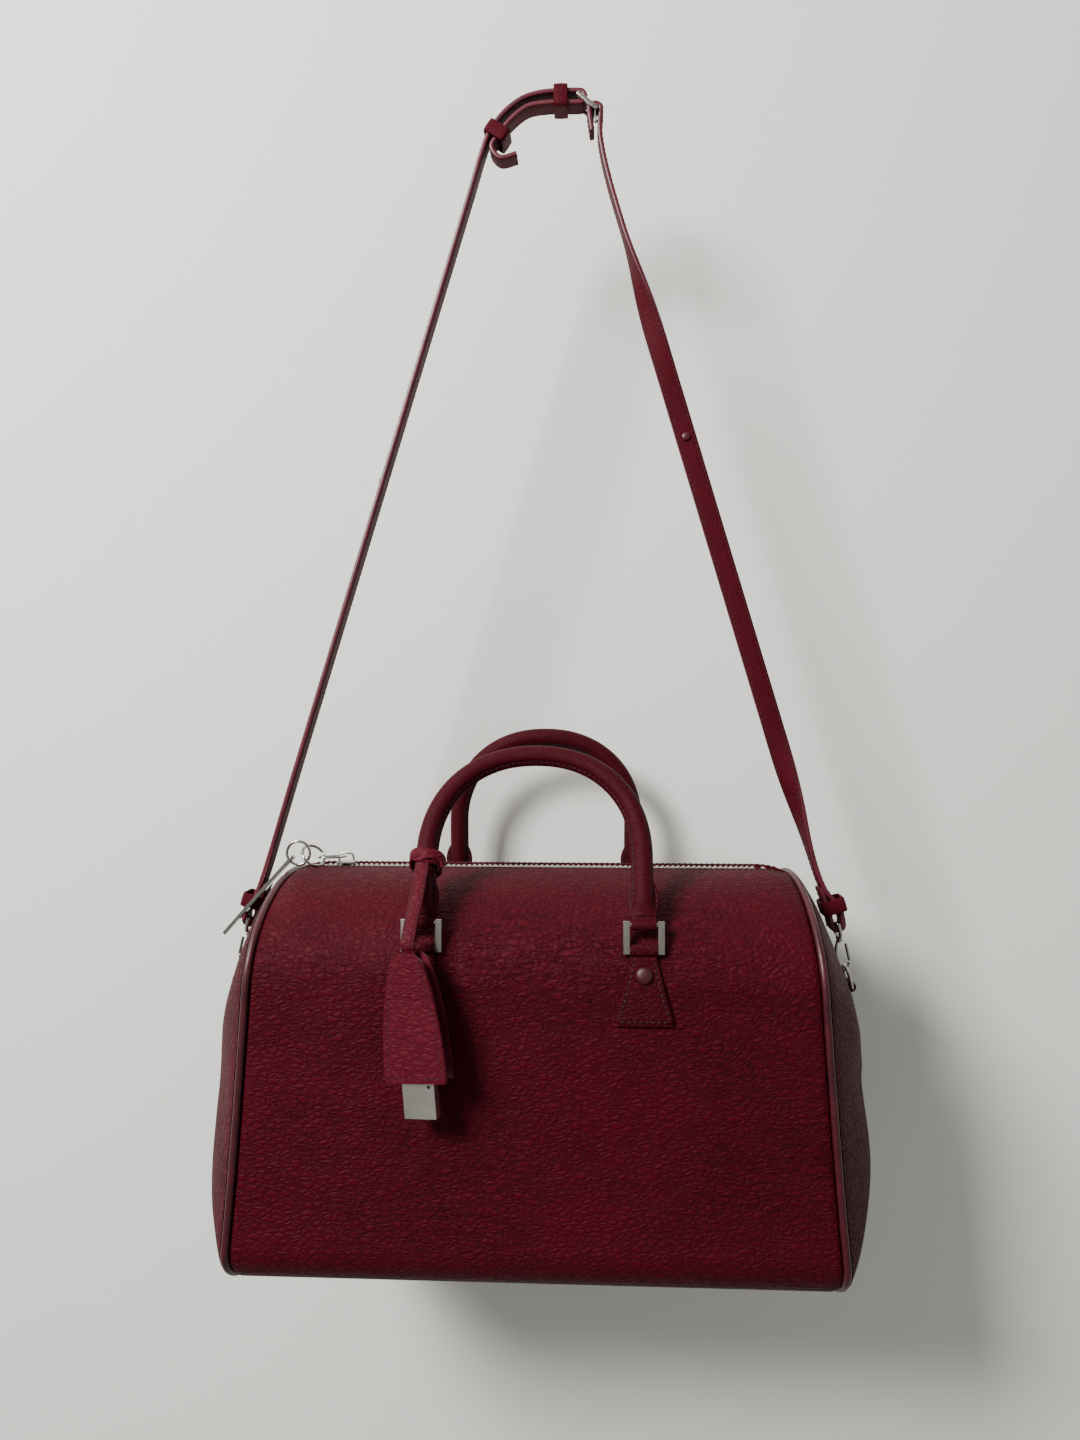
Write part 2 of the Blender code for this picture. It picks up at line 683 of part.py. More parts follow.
def clochette_loop(lean):
    """The turns of narrow strap round the front handle's left leg."""
    centre = knot_centre(lean)
    up = Vector((0, math.sin(lean), math.cos(lean)))
    band = rod_cutter(centre, up, HANDLE_R + 0.0032, 0.0080, 14)
    band.hide_render = False
    band.display_type = "TEXTURED"
    band.name = "clochette_loop"
    band.data.materials[0] = material("smooth_leather")
    bore = rod_cutter(centre, up, HANDLE_R + 0.0008, 0.0200, 14)
    combine(band, bore, "DIFFERENCE")


def clochette_strap(lean):
    """The narrow strap that hangs from the loop, with a hole at its lower end."""
    start = knot_centre(lean) + Vector((0, -KNOT_OUT, 0))
    top = at(CLOCHETTE_X, CLOCHETTE_Y, BELL_TOP_H)
    down = bell_tilt().to_3x3() @ Vector((0, 0, -1))
    bend = start.lerp(top, 0.35) + Vector((0, -0.0022, 0))
    points = smooth_path([start, bend, top - down * 0.0060, top, top + down * 0.0150,
                          top + down * STRAP_END], 3)
    strap = sweep("clochette_strap", "smooth_leather", points, flat_section(0.0070, 0.0028, 0.0003),
                  Vector((1, 0, 0)))
    hole = rod_cutter(top + down * STRAP_HOLE, (0, 1, 0), 0.0017, 0.02, 10)
    combine(strap, hole, "DIFFERENCE")


def bell_tilt():
    return Matrix.Rotation(math.radians(BELL_TILT), 4, "Y")


def bell_turn():
    """The bell and the padlock hang a little turned, their foot a little to the right."""
    middle = at(CLOCHETTE_X, CLOCHETTE_Y, BELL_TOP_H)
    turn = bell_tilt() @ Matrix.Rotation(math.radians(BELL_YAW), 4, "Z")
    return Matrix.Translation(middle) @ turn @ Matrix.Translation(-middle)


def bell_half(name, inner_y, outer_y):
    """One leather half of the bell: narrow at the top, wide at the foot."""
    tall = BELL_TOP_H - BELL_BOTTOM_H
    outline = []
    for k in range(9):
        share = k / 8
        half = BELL_TOP_HALF + BELL_FLARE * math.sin(math.pi / 2 * share ** 0.75)
        outline.append((half, BELL_TOP_H - tall * share))
    right = [(CLOCHETTE_X + half, height) for half, height in outline]
    left = [(CLOCHETTE_X - half, height) for half, height in reversed(outline)]
    turn = bell_turn()
    rings = [[turn @ at(x, y, height) for x, height in right + left] for y in (inner_y, outer_y)]
    loft(name, "smooth_leather", rings)


def bell_and_padlock():
    """Two bell halves on either side of the strap, and the padlock that hangs inside."""
    for name, side in (("bell_front", -1), ("bell_back", 1)):
        inner = CLOCHETTE_Y + side * BELL_HOLLOW
        bell_half(name, inner, inner + side * BELL_SKIN)
    tall = PADLOCK_TOP_H - PADLOCK_BOTTOM_H
    centre = at(CLOCHETTE_X, CLOCHETTE_Y, PADLOCK_BOTTOM_H + tall / 2)
    turn = bell_tilt() @ Matrix.Rotation(math.radians(BELL_YAW), 4, "Z")
    block("padlock_body", "nickel", bell_turn() @ centre, (0.0170, 0.0064, tall), 0.0004, turn)
    points = []
    reach, wire = 0.0025, 0.0008
    for rise in (PADLOCK_TOP_H + GAP, 0.1330, SHACKLE_H):
        points.append(at(CLOCHETTE_X, CLOCHETTE_Y - reach, rise))
    for k in range(7):
        angle = math.pi * k / 6
        points.append(at(CLOCHETTE_X, CLOCHETTE_Y - reach * math.cos(angle),
                         SHACKLE_H + 0.0064 + 0.0010 * math.sin(angle)))
    for rise in (SHACKLE_H, 0.1330, PADLOCK_TOP_H + GAP):
        points.append(at(CLOCHETTE_X, CLOCHETTE_Y + reach, rise))
    points = [bell_turn() @ point for point in points]
    sweep("padlock_shackle", "nickel", points, round_section(wire, 6), Vector((1, 0, 0)))


# ---------------------------------------------------------------- shoulder strap and its hooks
FOLD_R = 0.0033             # strap's middle to the middle of the bar it folds round
HOOK_TILT = math.radians(12)
LOOP_TOP = 0.0105           # distances down the hook from its strap bar
LOOP_BOTTOM = 0.0270
LOOP_HALF = 0.0032
HOOK_WIRE = 0.0009
DRING_WIRE = 0.0010
DRING_TALL = 0.0110
DRING_HALF = 0.0078


def down_hook(end, distance, out=0.0, y=0.0):
    """A point beside the hook: distance down it, out from it, on the left or the right."""
    x = HOOK_X + distance * math.sin(HOOK_TILT) + out * math.cos(HOOK_TILT)
    z = HOOK_Z - distance * math.cos(HOOK_TILT) + out * math.sin(HOOK_TILT)
    return Vector((end * x, y, z))


def fold_knots(end):
    """The strap's lower end, from its leg round the bar to the tip of the tail."""
    spots = [(-0.0018, 0.0070), (-0.0002, 0.0036)]
    knots = [Vector((end * (HOOK_X + FOLD_R + a - 0.0012), 0, HOOK_Z + b + 0.004)) for a, b in spots]
    for k in range(5):
        angle = math.pi * k / 4
        knots.append(Vector((end * (HOOK_X + FOLD_R * math.cos(angle)), 0,
                             HOOK_Z - FOLD_R * math.sin(angle))))
    knots.append(Vector((end * (HOOK_X - FOLD_R - 0.0018), 0, HOOK_Z + 0.0080)))
    knots.append(Vector((end * (HOOK_X - FOLD_R - 0.0060), 0, HOOK_Z + 0.0200)))
    return knots


ARCH = [(-0.0385, -0.0440), (-0.0332, -0.0260), (-0.0285, -0.0140), (-0.0205, -0.0035),
        (-0.0105, 0.0040), (0.0, 0.0072), (0.0120, 0.0080)]
BUCKLE = Vector((0.0225, 0, 0.0045))
SHORT_BAR = Vector((0.0315, 0, -0.0030))
TAIL = [(0.0120, 0.0014), (0.0040, 0.0014), (-0.0070, -0.0004), (-0.0165, -0.0075),
        (-0.0235, -0.0160), (-0.0275, -0.0225), (-0.0225, -0.0290), (-0.0130, -0.0270)]


def plane_points(pairs):
    return [Vector((x, 0, z)) for x, z in pairs]


def long_strap():
    """Left leg, over the arch, round the buckle's bar and back under itself."""
    leg_top = Vector((-0.0440, 0, -0.0620))
    leg_foot = Vector((-0.1610, 0, -0.4440))
    leg = [leg_foot.lerp(leg_top, k / 6) for k in range(7)]
    knots = list(reversed(fold_knots(-1))) + leg + plane_points(ARCH)
    for k in range(5):
        angle = math.pi / 2 - math.pi * k / 4
        knots.append(BUCKLE + Vector((FOLD_R * math.cos(angle), 0, FOLD_R * math.sin(angle))))
    knots += plane_points(TAIL)
    points = smooth_path(knots, 2)
    sweep("strap_long", "smooth_leather", points, flat_section(STRAP_W, STRAP_T, 0.0003),
          Vector((0, 1, 0)))


def short_strap():
    """Right leg, folded round the hook's bar below and the buckle's bar above."""
    leg_foot = Vector((0.1580, 0, -0.4400))
    leg_top = Vector((0.0400, 0, -0.0440))
    leg = [leg_foot.lerp(leg_top, k / 9) for k in range(10)]
    fold = list(reversed(fold_knots(1)))
    knots = fold + leg + [Vector((0.0345, 0, -0.0180)), SHORT_BAR + Vector((FOLD_R, 0, 0))]
    first = len(fold) * 2
    last = (len(fold) + len(leg)) * 2
    for k in range(1, 5):
        angle = math.pi * k / 4
        knots.append(SHORT_BAR + Vector((FOLD_R * math.cos(angle), 0, FOLD_R * math.sin(angle))))
    knots.append(SHORT_BAR + Vector((-FOLD_R + 0.0016, 0, -0.0120)))
    points = smooth_path(knots, 2)

    def twist(i):
        part = (i - first) / (last - first)
        return math.pi / 2 * (smoothstep(0.02, 0.24, part) - smoothstep(0.72, 0.94, part))

    sweep("strap_short", "smooth_leather", points, flat_section(STRAP_W, STRAP_T, 0.0003),
          Vector((0, 1, 0)), False, twist)


def keeper(name, centre, along, room):
    """A narrow leather loop round both layers of the strap."""
    turn = Vector((0, 0, 1)).rotation_difference(along).to_matrix().to_4x4()
    wall = 0.0014
    outer = block(name, "smooth_leather", centre,
                  (room + 2 * wall, STRAP_W + 0.0010 + 2 * wall, 0.0080), 0.0004, turn)
    inner = block(name + "_room", "board", centre, (room, STRAP_W + 0.0010, 0.03), 0, turn)
    combine(outer, inner, "DIFFERENCE")


def strap_trim():
    """Keepers, the two-bar buckle and the small studs of the strap."""
    for name, end in (("left", -1), ("right", 1)):
        middle = Vector((end * (HOOK_X - 0.0022), 0, HOOK_Z + 0.0100))
        along = Vector((-end * 0.30, 0, 1)).normalized()
        keeper(f"end_keeper_{name}", middle, along, 2 * FOLD_R + STRAP_T + 0.0014)
    keeper("top_keeper_left", Vector((-0.0243, 0, -0.0142)), Vector((0.56, 0, 0.83)), 0.0108)
    keeper("top_keeper_right", Vector((0.0120, 0, 0.0047)), Vector((1, 0, 0)), 0.0104)
    between = (BUCKLE + SHORT_BAR) / 2
    along = SHORT_BAR - BUCKLE
    turn = Vector((1, 0, 0)).rotation_difference(along.normalized()).to_matrix().to_4x4()
    reach = along.length + 0.0030
    size = (reach, 0.0016, 0.0022)
    frame = block("buckle_frame", "nickel", between - Vector((0, 0.0073, 0)), size, 0.0003, turn)
    other = block("buckle_side", "nickel", between + Vector((0, 0.0073, 0)), size, 0.0003, turn)
    combine(frame, other, "UNION")
    for bar in (BUCKLE, SHORT_BAR):
        combine(frame, rod_cutter(bar, (0, 1, 0), 0.0010, 0.0140, 8), "UNION")
    strap_stud("strap_stud_left", Vector((-0.0899, 0, -0.2120)), Vector((-0.956, 0, 0.293)))
    strap_stud("strap_stud_right", Vector((0.0830, 0, -0.1886)), Vector((0, -1, 0)))


def strap_stud(name, centre, out):
    """A small stud through one leg of the strap."""
    out = out.normalized()
    base = centre + out * (STRAP_T / 2 + GAP)
    domed_stud(name, base, out, ((0.0026, 0.0), (0.0024, 0.0006), (0.0014, 0.0011)), 10)


def snap_hook(name, end):
    """A frame for the strap, a swivel post and a narrow hook whose outer side is the gate."""
    turn = Matrix.Rotation(-end * HOOK_TILT, 4, "Y")
    frame = block(f"snap_hook_{name}", "nickel", down_hook(end, 0.0072), (0.0022, 0.0168, 0.0022),
                  0.0004, turn)
    combine(frame, rod_cutter(down_hook(end, 0.0), (0, 1, 0), 0.0011, 0.0155, 8), "UNION")
    for y in (-1, 1):
        side = block("hook_side", "nickel", down_hook(end, 0.0036, 0, y * 0.0075),
                     (0.0018, 0.0016, 0.0086), 0.0003, turn)
        combine(frame, side, "UNION")
    post = block("hook_post", "nickel", down_hook(end, 0.0092), (0.0026, 0.0026, 0.0040), 0.0005,
                 turn)
    combine(frame, post, "UNION")
    middle = (LOOP_TOP + LOOP_BOTTOM) / 2
    half = (LOOP_BOTTOM - LOOP_TOP) / 2
    points = []
    for k in range(13):
        angle = math.radians(90 + 20 * k)
        points.append(down_hook(end, middle - half * math.sin(angle), LOOP_HALF * math.cos(angle)))
    body = sweep("hook_body", "nickel", points, round_section(HOOK_WIRE, 6), Vector((0, 1, 0)))
    combine(frame, body, "UNION")
    knee = down_hook(end, LOOP_TOP + 0.0018, LOOP_HALF * 0.95)
    tip = down_hook(end, middle + half * 0.42, LOOP_HALF * 1.0)
    sweep(f"hook_gate_{name}", "nickel", [knee, knee.lerp(tip, 0.5), tip],
          round_section(HOOK_WIRE, 6), Vector((0, 1, 0)))


def d_ring(name, end):
    """The D ring in its tab: a straight bar below and a bow above it."""
    bottom = LOOP_BOTTOM - HOOK_WIRE - DRING_WIRE - 0.0004 + DRING_TALL
    points = []
    for k in range(11):
        angle = math.pi * k / 10
        rise = DRING_TALL * math.sin(angle) ** 0.6
        points.append(down_hook(end, bottom - rise, 0, DRING_HALF * math.cos(angle)))
    side = Vector((math.cos(HOOK_TILT) * end, 0, math.sin(HOOK_TILT)))
    sweep(f"d_ring_{name}", "nickel", points, round_section(DRING_WIRE, 6), side, True)


def gusset_tab(name, end):
    """The leather tab sewn to the gusset, looped round the D ring's bar."""
    bar = LOOP_BOTTOM - HOOK_WIRE - DRING_WIRE - 0.0004 + DRING_TALL
    centre = down_hook(end, bar)
    rings = []
    for drop in (0.0010, 0.0080, 0.0160, 0.0230):
        height = centre.z - drop - BASE_Z
        reach = 1 - (height - GUSSET_CENTRE_H) / (BODY_HEIGHT - GUSSET_CENTRE_H)
        x = gusset_x(TOP_WIDTH + SEAM, reach) + GAP
        row = []
        for y in (-0.0062, 0.0, 0.0062):
            row.append(Vector((end * (x - 9.0 * y * y), y, centre.z - drop)))
        outer = [point + Vector((end * 0.0022, 0, 0)) for point in reversed(row)]
        rings.append(row + outer)
    tab = loft(f"gusset_tab_{name}", "smooth_leather", rings)
    combine(tab, rod_cutter(centre, (0, 1, 0), DRING_WIRE + 0.0018, 0.0124, 12), "UNION")
    combine(tab, rod_cutter(centre, (0, 1, 0), DRING_WIRE + 0.0004, 0.03, 10), "DIFFERENCE")


def main():
    clear_scene()
    body_panel("front_panel", -1)
    body_panel("back_panel", 1)
    base_panel()
    base_board()
    lining()
    for name, end in (("left", -1), ("right", 1)):
        gusset(f"gusset_{name}", end)
        piping(f"piping_{name}", end)
        snap_hook(name, end)
        d_ring(name, end)
        gusset_tab(name, end)
    zip_rows()
    zip_slider()
    pull_chain()
    for side in (-1, 1):
        for end in (-1, 1):
            handle_ring(side, end)
            handle_tab(side, end)
            handle_stud(side, end)
    handle(-1, math.radians(27), 0.0935)
    handle(1, math.radians(5), 0.0920)
    clochette_loop(math.radians(27))
    clochette_strap(math.radians(27))
    bell_and_padlock()
    long_strap()
    short_strap()
    strap_trim()


main()
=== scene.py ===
"""Looks of the burgundy Boston bag: leather, stitching, zip teeth and metal round the CAD frame.

Metres, +Z up, front faces -Y, origin at the hanging point. The formulas of the CAD forms are
repeated here at a finer step, so that every soft piece lies where its CAD node lies.
"""
import math

import bmesh
import bpy
from mathutils import Matrix, Vector, noise


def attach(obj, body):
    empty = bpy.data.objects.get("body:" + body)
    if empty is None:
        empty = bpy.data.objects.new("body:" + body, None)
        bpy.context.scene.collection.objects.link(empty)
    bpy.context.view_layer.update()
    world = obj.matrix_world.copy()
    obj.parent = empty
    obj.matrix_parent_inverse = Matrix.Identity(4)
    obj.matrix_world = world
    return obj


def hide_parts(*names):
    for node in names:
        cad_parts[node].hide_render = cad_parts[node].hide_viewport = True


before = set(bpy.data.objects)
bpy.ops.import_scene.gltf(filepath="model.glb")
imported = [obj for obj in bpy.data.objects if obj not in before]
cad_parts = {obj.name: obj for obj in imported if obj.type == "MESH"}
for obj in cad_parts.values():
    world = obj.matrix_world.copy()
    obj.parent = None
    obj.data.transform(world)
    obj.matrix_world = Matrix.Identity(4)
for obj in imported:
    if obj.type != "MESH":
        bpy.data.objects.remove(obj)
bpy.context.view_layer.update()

# ---------------------------------------------------------------- dimensions, as in the CAD
GAP = 0.0003
BODY_HEIGHT = 0.206
RIDGE_Z = -0.4325
BASE_Z = RIDGE_Z - BODY_HEIGHT
BASE_FLAT = 0.060
BASE_CORNER = 0.022
SIDE_DEPTH = 0.082
WAIST_DEPTH = 0.080
SHOULDER_H = 0.150
SHOULDER_POWER = 2.2
TOP_WIDTH = 0.142
BOTTOM_WIDTH = 0.158
UNDER_WIDTH = 0.151
END_DROP = 0.004
END_START = 0.124
GUSSET_BULGE = 0.030
GUSSET_CENTRE_H = 0.085
GUSSET_CENTRE_X = 0.150
GUSSET_CURVE = 9.0               # how fast the gusset falls away across its tab, per metre
SKIN = 0.0022
PIPING_R = 0.0020
SEAM = PIPING_R + 0.0005
BASE_SEAM = 0.057
ZIP_EDGE = 0.008
ZIP_END = 0.128
TEETH_LOW = 0.2020
TEETH_HIGH = 0.2060
TAPE_OUT = 0.0160
SLIDER_X = -0.112
HANDLE_X = 0.0560
RING_H = 0.1740
RING_W = 0.0208
RING_TALL = 0.0125
RING_BAR = 0.0011
RING_OUT = 0.0036
RING_LEAN = 0.10
HANDLE_R = 0.0054
TAB_TOP_H = 0.1688
TAB_FOOT_H = 0.1372
TAB_TOP_HALF = 0.0068
TAB_FOOT_HALF = 0.0155
TAB_THICK = 0.0020
STUD_H = 0.1618
HANDLE_STRAIGHT = 0.036
ARCH_POWER = 0.92
STRAP_W = 0.0120
STRAP_T = 0.0028
HOOK_X = 0.1672
HOOK_Z = -0.4640
CLOCHETTE_X = -0.0590
CLOCHETTE_Y = -0.0952
KNOT_RISE = 0.0330
KNOT_OUT = HANDLE_R + 0.0062
BELL_TOP_H = 0.1755
BELL_BOTTOM_H = 0.1130
BELL_HOLLOW = 0.0036
BELL_SKIN = 0.0018
BELL_TOP_HALF = 0.0062
BELL_FLARE = 0.0102
BAR_SLOPE = 48.0
BAR_HELD = 220.0
BELL_YAW = -14.0
BELL_TILT = -4.8
SHACKLE_H = 0.1414
STRAP_END = 0.0310
WING = ((0.0010, 0.0063), (0.0060, 0.0070), (0.0110, 0.0083), (0.0165, 0.0080), (0.0215, 0.0060),
        (0.0240, 0.0040))
PADLOCK_TOP_H = 0.1260
PADLOCK_BOTTOM_H = 0.0948
FOLD_R = 0.0033
HOOK_TILT = math.radians(12)
LOOP_TOP = 0.0105
LOOP_BOTTOM = 0.0270
LOOP_HALF = 0.0032
HOOK_WIRE = 0.0009
DRING_WIRE = 0.0010
DRING_TALL = 0.0110
DRING_HALF = 0.0078
FRONT_LEAN = math.radians(27)
BACK_LEAN = math.radians(5)
FRONT_APEX = 0.0935
BACK_APEX = 0.0920

# ---------------------------------------------------------------- the wall and the camera
WALL_Y = 0.110
CAMERA_Z = -0.3495
CAMERA_AWAY = 0.62
CAMERA_ROUND = math.radians(3.0)
CAMERA_LENS = 27.05
CAMERA_SENSOR = 36.0


# ---------------------------------------------------------------- building blocks
def smoothstep(low, high, value):
    t = min(1.0, max(0.0, (value - low) / (high - low)))
    return t * t * (3 - 2 * t)


def lerp(a, b, t):
    return a + (b - a) * t


def at(x, y, height):
    return Vector((x, y, BASE_Z + height))


def finish_mesh(name, build, paint, sharp=40):
    """Turn a bmesh into an object with outward faces, smooth shading and one material."""
    bmesh.ops.recalc_face_normals(build, faces=build.faces)
    mesh = bpy.data.meshes.new(name)
    build.to_mesh(mesh)
    build.free()
    mesh.shade_smooth()
    mesh.set_sharp_from_angle(angle=math.radians(sharp))
    thing = bpy.data.objects.new(name, mesh)
    mesh.materials.append(paint)
    bpy.context.scene.collection.objects.link(thing)
    return thing


def skin_rings(build, rings, closed=False, capped=True):
    """Add a tube of point rings to a bmesh."""
    loops = [[build.verts.new(point) for point in ring] for ring in rings]
    count = len(loops[0])
    pairs = list(zip(loops, loops[1:]))
    if closed:
        pairs.append((loops[-1], loops[0]))
    for lower, upper in pairs:
        for i in range(count):
            j = (i + 1) % count
            build.faces.new((lower[i], lower[j], upper[j], upper[i]))
    if capped and not closed:
        build.faces.new(list(reversed(loops[0])))
        build.faces.new(loops[-1])
    return loops


def frames_along(points, side, closed=False):
    """Tangent, side and normal at each point of a path; side may be one vector or one a point."""
    count = len(points)
    result = []
    for i, point in enumerate(points):
        before = points[i - 1] if i > 0 or closed else point
        after = points[(i + 1) % count] if i < count - 1 or closed else point
        tangent = (after - before).normalized()
        want = side[i] if isinstance(side, list) else side
        level = (want - tangent * want.dot(tangent)).normalized()
        result.append((tangent, level, tangent.cross(level)))
    return result


def sweep_rings(points, section, side, closed=False, twist=None, scale=None):
    rings = []
    for i, (tangent, level, normal) in enumerate(frames_along(points, side, closed)):
        angle = twist(i) if twist else 0.0
        wide, thick = scale(i) if scale else (1.0, 1.0)
        across = level * math.cos(angle) + normal * math.sin(angle)
        through = tangent.cross(across)
        rings.append([points[i] + across * a * wide + through * b * thick for a, b in section])
    return rings


def sweep(name, paint, points, section, side, closed=False, twist=None, scale=None, sharp=40):
    build = bmesh.new()
    skin_rings(build, sweep_rings(points, section, side, closed, twist, scale), closed)
    return finish_mesh(name, build, paint, sharp)


def round_section(radius, sides):
    return [(radius * math.cos(math.tau * k / sides), radius * math.sin(math.tau * k / sides))
            for k in range(sides)]


def flat_section(half_wide, half_thick, edge=0.96, lift=0.8):
    """A thin band with softened edges."""
    outline = ((-1, 0), (-edge, lift), (-0.85, 1), (0.85, 1), (edge, lift), (1, 0),
               (edge, -lift), (0.85, -1), (-0.85, -1), (-edge, -lift))
    return [(a * half_wide, b * half_thick) for a, b in outline]


def strap_section(width, thickness):
    """A strap of two layers: rounded painted edges and a shallow pillow between the stitches."""
    half_w, half_t = width / 2, thickness / 2
    top = []
    for part, lift in ((-1.0, 0.0), (-0.985, 0.55), (-0.94, 0.86), (-0.86, 0.96), (-0.76, 0.86),
                       (-0.66, 0.97), (-0.3, 1.0), (0.3, 1.0), (0.66, 0.97), (0.76, 0.86),
                       (0.86, 0.96), (0.94, 0.86), (0.985, 0.55), (1.0, 0.0)):
        top.append((part * half_w, lift * half_t))
    return top + [(a, -b) for a, b in reversed(top[1:-1])]


def smooth_path(knots, steps):
    """A Catmull-Rom curve through the knots, steps points to each stretch."""
    ends = [knots[0] * 2 - knots[1]] + list(knots) + [knots[-1] * 2 - knots[-2]]
    path = []
    for a, b, c, d in zip(ends, ends[1:], ends[2:], ends[3:]):
        for k in range(steps):
            t = k / steps
            path.append(0.5 * ((b * 2) + (c - a) * t + (a * 2 - b * 5 + c * 4 - d) * t * t
                               + (b * 3 - a - c * 3 + d) * t * t * t))
    path.append(knots[-1].copy())
    return path


def box_at(build, centre, size, turn=None, bevel=0.0, segments=2):
    """Add a bevelled box to a bmesh."""
    part = bmesh.new()
    bmesh.ops.create_cube(part, size=1.0)
    bmesh.ops.scale(part, vec=size, verts=part.verts)
    if bevel > 0:
        bmesh.ops.bevel(part, geom=list(part.edges), offset=bevel, segments=segments,
                        affect="EDGES", profile=0.6)
    place = Matrix.Translation(centre) @ (turn or Matrix.Identity(4))
    bmesh.ops.transform(part, matrix=place, verts=part.verts)
    absorb(build, part)


def rod_at(build, centre, axis, radius, length, sides=24, bevel=0.0):
    """Add a round rod to a bmesh, its ends a little rounded."""
    axis = Vector(axis).normalized()
    turn = Vector((0, 0, 1)).rotation_difference(axis).to_matrix()
    rings = []
    half = length / 2
    ease = bevel or radius * 0.15
    for height, r in ((-half, radius - ease), (-half + ease, radius), (half - ease, radius),
                      (half, radius - ease)):
        rings.append([Vector(centre) + turn @ Vector((r * math.cos(math.tau * k / sides),
                                                      r * math.sin(math.tau * k / sides), height))
                      for k in range(sides)])
    skin_rings(build, rings)


def absorb(build, part):
    """Move all of one bmesh into another."""
    copies = {vert: build.verts.new(vert.co) for vert in part.verts}
    for face in part.faces:
        build.faces.new([copies[vert] for vert in face.verts])
    part.free()


def walk(points, step):
    """Evenly spaced (place, tangent, fraction) along a path."""
    lengths = [0.0]
    for a, b in zip(points, points[1:]):
        lengths.append(lengths[-1] + (b - a).length)
    total = lengths[-1]
    count = max(2, int(total / step))
    spots = []
    i = 0
    for k in range(count):
        want = total * (k + 0.5) / count
        while i < len(points) - 2 and lengths[i + 1] < want:
            i += 1
        part = (want - lengths[i]) / max(1e-9, lengths[i + 1] - lengths[i])
        spots.append((points[i].lerp(points[i + 1], part),
                      (points[i + 1] - points[i]).normalized(), want / total, i, part))
    return spots


def stitch_into(build, points, normals, step=0.0030, thick=0.00032):
    """A row of stitches: short thread humps along a path, a little sunk at both ends."""
    for place, tangent, _, i, part in walk(points, step):
        normal = normals[i].lerp(normals[i + 1], part).normalized()
        side = tangent.cross(normal).normalized()
        half = step * 0.38
        rings = []
        for share, sink, r in ((-1.0, -0.6, 0.55), (-0.5, 0.25, 1.0), (0.5, 0.25, 1.0),
                               (1.0, -0.6, 0.55)):
            centre = place + tangent * half * share + normal * thick * sink
            rings.append([centre + (side * math.cos(a) + normal * math.sin(a)) * thick * r
                          for a in (0.0, 1.047, 2.094, 3.1416, 4.712)])
        skin_rings(build, rings)


def stitches(name, rows, step=0.0030, thick=0.00032):
    """An object of stitch rows; each row is (points, normals)."""
    build = bmesh.new()
    for points, normals in rows:
        stitch_into(build, points, normals, step, thick)
    return finish_mesh(name, build, THREAD, 60)


def put(piece, body, slot=None, *nodes):
    """Ride on a body and stand for CAD nodes; the slot argument is not used."""
    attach(piece, body)
    if nodes:
        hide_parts(*nodes)
    return piece


# ---------------------------------------------------------------- materials
def new_paint(name):
    paint = bpy.data.materials.new(name)
    paint.use_nodes = True
    tree = paint.node_tree
    return paint, tree, tree.nodes["Principled BSDF"]


def node(tree, kind, **inputs):
    made = tree.nodes.new(kind)
    for key, value in inputs.items():
        made.inputs[key.replace("_", " ")].default_value = value
    return made


def math_node(tree, operation, a, b, clamp=False):
    made = tree.nodes.new("ShaderNodeMath")
    made.operation = operation
    made.use_clamp = clamp
    for index, value in enumerate((a, b)):
        if isinstance(value, (int, float)):
            made.inputs[index].default_value = value
        elif value is not None:
            tree.links.new(value, made.inputs[index])
    return made.outputs[0]


def mapped(tree, scale, turn=(0, 0, 0)):
    """Object coordinates, scaled: features per metre."""
    coords = tree.nodes.new("ShaderNodeTexCoord")
    mapping = tree.nodes.new("ShaderNodeMapping")
    mapping.inputs["Scale"].default_value = scale
    mapping.inputs["Rotation"].default_value = turn
    tree.links.new(coords.outputs["Object"], mapping.inputs["Vector"])
    return mapping.outputs["Vector"]


def noise_value(tree, vector, detail=3.0, rough=0.5, distortion=0.0):
    made = node(tree, "ShaderNodeTexNoise", Scale=1.0, Detail=detail, Roughness=rough,
                Distortion=distortion)
    tree.links.new(vector, made.inputs["Vector"])
    return made.outputs["Fac"]


def ramp(tree, value, low, high, out_low=0.0, out_high=1.0):
    made = tree.nodes.new("ShaderNodeMapRange")
    made.interpolation_type = "SMOOTHSTEP"
    for index, number in ((1, low), (2, high), (3, out_low), (4, out_high)):
        made.inputs[index].default_value = number
    tree.links.new(value, made.inputs[0])
    return made.outputs[0]


def mix_colour(tree, share, a, b):
    made = tree.nodes.new("ShaderNodeMix")
    made.data_type = "RGBA"
    tree.links.new(share, made.inputs["Factor"])
    for socket, value in ((made.inputs[6], a), (made.inputs[7], b)):
        if isinstance(value, tuple):
            socket.default_value = (*value, 1.0)
        else:
            tree.links.new(value, socket)
    return made.outputs[2]


def bump(tree, shader, height, distance, strength=1.0):
    made = tree.nodes.new("ShaderNodeBump")
    made.inputs["Strength"].default_value = strength
    made.inputs["Distance"].default_value = distance
    tree.links.new(height, made.inputs["Height"])
    tree.links.new(made.outputs["Normal"], shader.inputs["Normal"])


